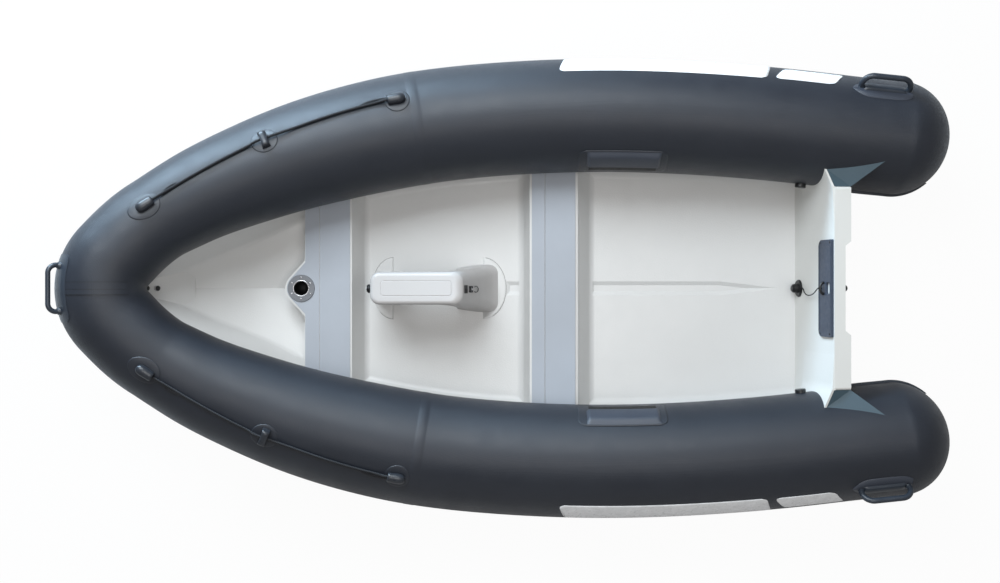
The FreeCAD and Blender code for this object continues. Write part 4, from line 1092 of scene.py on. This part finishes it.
def make_pod_fittings():
    """The latch on the pod's after slope and the stop at its fore end."""
    slope = Vector((-POD_SLOPE, 0, FLOOR_Z - POD_TOP)).normalized()
    out = Vector((slope.z, 0, -slope.x))

    def on_slope(x, off):
        point = Vector((POD_AFT, LATCH_Y, POD_TOP)) + slope * ((x - POD_AFT) / slope.x) + out * off
        return placed(point, slope.cross(out), slope, out)

    boss = on_slope(LATCH_X, 0.0)

    def dark(work):
        for x in (0.1495, 0.1445):
            rounded_block(work, on_slope(x, 0.002), (0.026, 0.0042, 0.004), 0.001, 2)
        for k in range(4):
            lobe = Matrix.Rotation(pi / 2 * (k + 0.5), 4, "Z") @ Matrix.Translation((0.0085, 0, 0))
            disc(work, 0.0045, 0.006, boss @ lobe, 16, 0.0040)
        disc(work, 0.0090, 0.005, boss, 28, 0.0082)
        hook = []
        for turn in shares(25, radians(-40), radians(220)):
            point = Vector((0.0095 * cos(turn), 0.0190 * sin(turn), 0))
            hook.append(on_slope(0.1185, 0.003) @ point)
        rings = [ring_round(*spot, 0.0014, 10) for spot in frames(hook)]
        join_loops(work, [[work.verts.new(v) for v in ring] for ring in rings])

    def bright(work):
        disc(work, 0.0048, 0.0022, on_slope(LATCH_X, 0.005), 20, 0.0038)
        face = Matrix.Translation((STOP_X + 0.006, 0.001, STOP_Z + 0.001))
        disc(work, 0.0055, 0.003, face @ Matrix.Rotation(pi / 2, 4, "Y"), 20, 0.0045)

    def stop(work):
        rounded_block(work, Matrix.Translation((STOP_X, 0.001, STOP_Z)), (0.013, 0.026, 0.022), 0.003, 3)

    fitting("pod_latch", dark, black_plastic)
    fitting("pod_bolts", bright, bright_steel)
    fitting("pod_stop", stop, black_plastic)


make_pod_fittings()


# Small fittings

SOCKET_X = 0.681
SOCKET_TOP = STRIP_TOP + 0.005
SOCKET_BOTTOM = 0.0586
BOW_EYE = Vector((1.130, 0, 0.217 + LIFT))
BOW_EYE_DIP = radians(40)
NUT_SPREAD = 0.019           # from the towing eye's middle to each nut
NUT_RADIUS = 0.0088


def make_socket_trim():
    """The pole socket's lip, its screws and painted shade down its deep bore."""
    mouth = Matrix.Translation((SOCKET_X, 0, SOCKET_TOP))

    def lip(work):
        profile = [(0.0232, -0.012), (0.0232, 0.0006), (0.0238, 0.0012), (0.0262, 0.0012),
                   (0.0268, 0.0004), (0.0268, 0.0)]
        join_loops(work, [circle(work, mouth, r, z, 64) for r, z in profile])

    def screws(work):
        for k in range(6):
            turn = radians(30 + 60 * k)
            place = Matrix.Translation((0.034 * cos(turn), 0.034 * sin(turn), -0.0002))
            screw(work, mouth @ place)

    # A near-black cylinder down the bore: painted shade of the deep hole.
    def shaded_bore(work):
        bottom = SOCKET_BOTTOM - SOCKET_TOP
        profile = [(0.0229, -0.002), (0.0229, bottom), (0.0005, bottom)]
        loops = [circle(work, mouth, r, z, 48) for r, z in profile]
        join_loops(work, loops)
        work.faces.new(loops[-1])

    fitting("socket_ring", lip, bright_steel)
    fitting("socket_screws", screws, bright_steel)
    fitting("socket_bore_shade", shaded_bore, painted_shade_black)


make_socket_trim()


def make_pad_trim():
    """The motor pad's corner screws and raised border."""
    def screws(work):
        for y in (-0.141, 0.141):
            for height in (0.217, 0.291):
                screw(work, transom_frame(height, y, PAD_FACE), 0.0042, 0.0016)

    def rib(work, height, y, width, tall):
        block(work, transom_frame(height, y, PAD_FACE + 0.0004), (width, tall, 0.0010))

    def ribs(work):
        for y in (-0.129, 0.129):
            rib(work, 0.254, y, 0.0016, 0.078)
        for height in (0.2125, 0.2965):
            rib(work, height, 0, 0.258, 0.0014)

    fitting("pad_screws", screws, black_plastic)
    fitting("pad_ribs", ribs, pad_blue, smooth=False)


make_pad_trim()


def make_bow_nuts():
    """The capped nuts that hold the towing eye, on the bow wall's inner face."""
    out = Vector((cos(BOW_EYE_DIP), 0, -sin(BOW_EYE_DIP)))
    along = Vector((sin(BOW_EYE_DIP), 0, cos(BOW_EYE_DIP)))

    def caps(work):
        turn = (-out).to_track_quat("Z", "Y").to_matrix().to_4x4()
        for way in (-1, 1):
            centre = BOW_EYE + along * (NUT_SPREAD * way) - out * 0.0088
            disc(work, NUT_RADIUS, 0.0045, Matrix.Translation(centre) @ turn, 32, 0.0062, 0.0008)

    fitting("bow_nut_caps", caps, black_plastic)


make_bow_nuts()


# Beds under the after beam's strips fill the gap between them and the beam

BED_LENGTH = 0.98            # a bed's length and breadth to its strip's
BED_BREADTH = 0.997

for end in ("front", "back"):
    bed = nodes["strip_aft_" + end].data.copy()
    middle = sum((v.co for v in bed.vertices), Vector()) / len(bed.vertices)
    for v in bed.vertices:
        x = middle.x + (v.co.x - middle.x) * BED_LENGTH
        v.co = Vector((x, v.co.y * BED_BREADTH, v.co.z - STRIP_THICKNESS))
    add_piece("strip_bed_" + end, bed, deck_white)


# Bevels soften the hard edges of the moulded nodes

soft_edges = {"transom": 0.004, "motor_pad": 0.0016, "pole_socket": 0.0008}
soft_edges.update((node_name, 0.0012) for node_name in nodes if node_name.startswith("strip_"))
for node_name, width in soft_edges.items():
    bevel = nodes[node_name].modifiers.new("soft_edge", "BEVEL")
    bevel.width = width
    bevel.segments = 3
    bevel.limit_method = "ANGLE"
    bevel.angle_limit = radians(40)

for node in nodes.values():
    for polygon in node.data.polygons:
        polygon.use_smooth = True
    smooth = node.modifiers.new("crisp", "EDGE_SPLIT")
    smooth.split_angle = radians(28)


# Floor, light and camera

FLOOR_HALF = 9
FLOOR_GLOW = 0.96            # the rest of the floor's light is what falls on it, with the shadow
CAMERA_X = 0.040
CAMERA_Z = 4.038


def blended(tree, factor, first, second, output):
    """Mixes two shaders by a factor into the tree's output."""
    mix = add_node(tree, "ShaderNodeMixShader")
    tree.links.new(factor, mix.inputs["Fac"])
    tree.links.new(first.outputs[0], mix.inputs[1])
    tree.links.new(second.outputs[0], mix.inputs[2])
    tree.links.new(mix.outputs[0], tree.nodes[output].inputs["Surface"])


def lamp(name, place, target, breadth, height, power, colour):
    light = bpy.data.lights.new(name, "AREA")
    light.shape = "RECTANGLE"
    light.size = breadth
    light.size_y = height
    light.energy = power
    light.color = colour
    holder = bpy.data.objects.new(name, light)
    holder.location = place
    aim = Vector(place) - Vector(target)
    holder.rotation_euler = aim.to_track_quat("Z", "Y").to_euler()
    scene.collection.objects.link(holder)


scene.view_settings.view_transform = "Standard"

corners = [(x * FLOOR_HALF, y * FLOOR_HALF, 0) for x, y in ((-1, -1), (1, -1), (1, 1), (-1, 1))]
floor = bpy.data.objects.new("floor", mesh_of("floor", corners, [(0, 1, 2, 3)]))
scene.collection.objects.link(floor)
floor_material = bpy.data.materials.new("floor")
floor_material.use_nodes = True
tree = floor_material.node_tree
diffuse = tree.nodes["Principled BSDF"]
diffuse.inputs["Base Color"].default_value = (0.60, 0.60, 0.60, 1)
diffuse.inputs["Roughness"].default_value = 0.9
glow = add_node(tree, "ShaderNodeEmission", Color=(1, 1, 1, 1), Strength=1.0)
path = add_node(tree, "ShaderNodeLightPath")
share = add_node(tree, "ShaderNodeMath", operation="MULTIPLY")
share.inputs[1].default_value = FLOOR_GLOW
tree.links.new(path.outputs["Is Camera Ray"], share.inputs[0])
blended(tree, share.outputs[0], diffuse, glow, "Material Output")
floor.data.materials.append(floor_material)

world = bpy.data.worlds.new("world")
scene.world = world
world.use_nodes = True
tree = world.node_tree
dim = tree.nodes["Background"]
dim.inputs["Color"].default_value = (1.0, 0.98, 0.97, 1)
dim.inputs["Strength"].default_value = 0.30
plain = add_node(tree, "ShaderNodeBackground", Strength=1.0)
path = add_node(tree, "ShaderNodeLightPath")
seen = add_node(tree, "ShaderNodeMath", operation="MAXIMUM")
tree.links.new(path.outputs["Is Camera Ray"], seen.inputs[0])
tree.links.new(path.outputs["Is Transmission Ray"], seen.inputs[1])
blended(tree, seen.outputs[0], dim, plain, "World Output")

lamp("window", (2.3, -3.4, 1.3), (0.4, 0, 0.1), 2.6, 0.7, 270, (0.60, 0.81, 1.0))
lamp("high", (1.0, -2.3, 3.5), (0.1, 0, 0.1), 2.4, 2.2, 162, (0.88, 0.95, 1.0))
lamp("top", (-0.3, 0.3, 4.7), (0, 0, 0), 2.8, 1.4, 50, (1.0, 0.985, 0.97))
lamp("far", (0.0, 3.8, 1.6), (0, 0, 0.2), 5.0, 0.8, 6, (0.92, 0.96, 1.0))

camera_data = bpy.data.cameras.new("camera")
camera = bpy.data.objects.new("camera", camera_data)
scene.collection.objects.link(camera)
camera_data.sensor_width = 36.0
camera_data.lens = 43.55
camera_data.shift_y = -0.0032
camera.location = (CAMERA_X, 0, CAMERA_Z)
camera.rotation_euler = (0, 0, pi)
scene.camera = camera
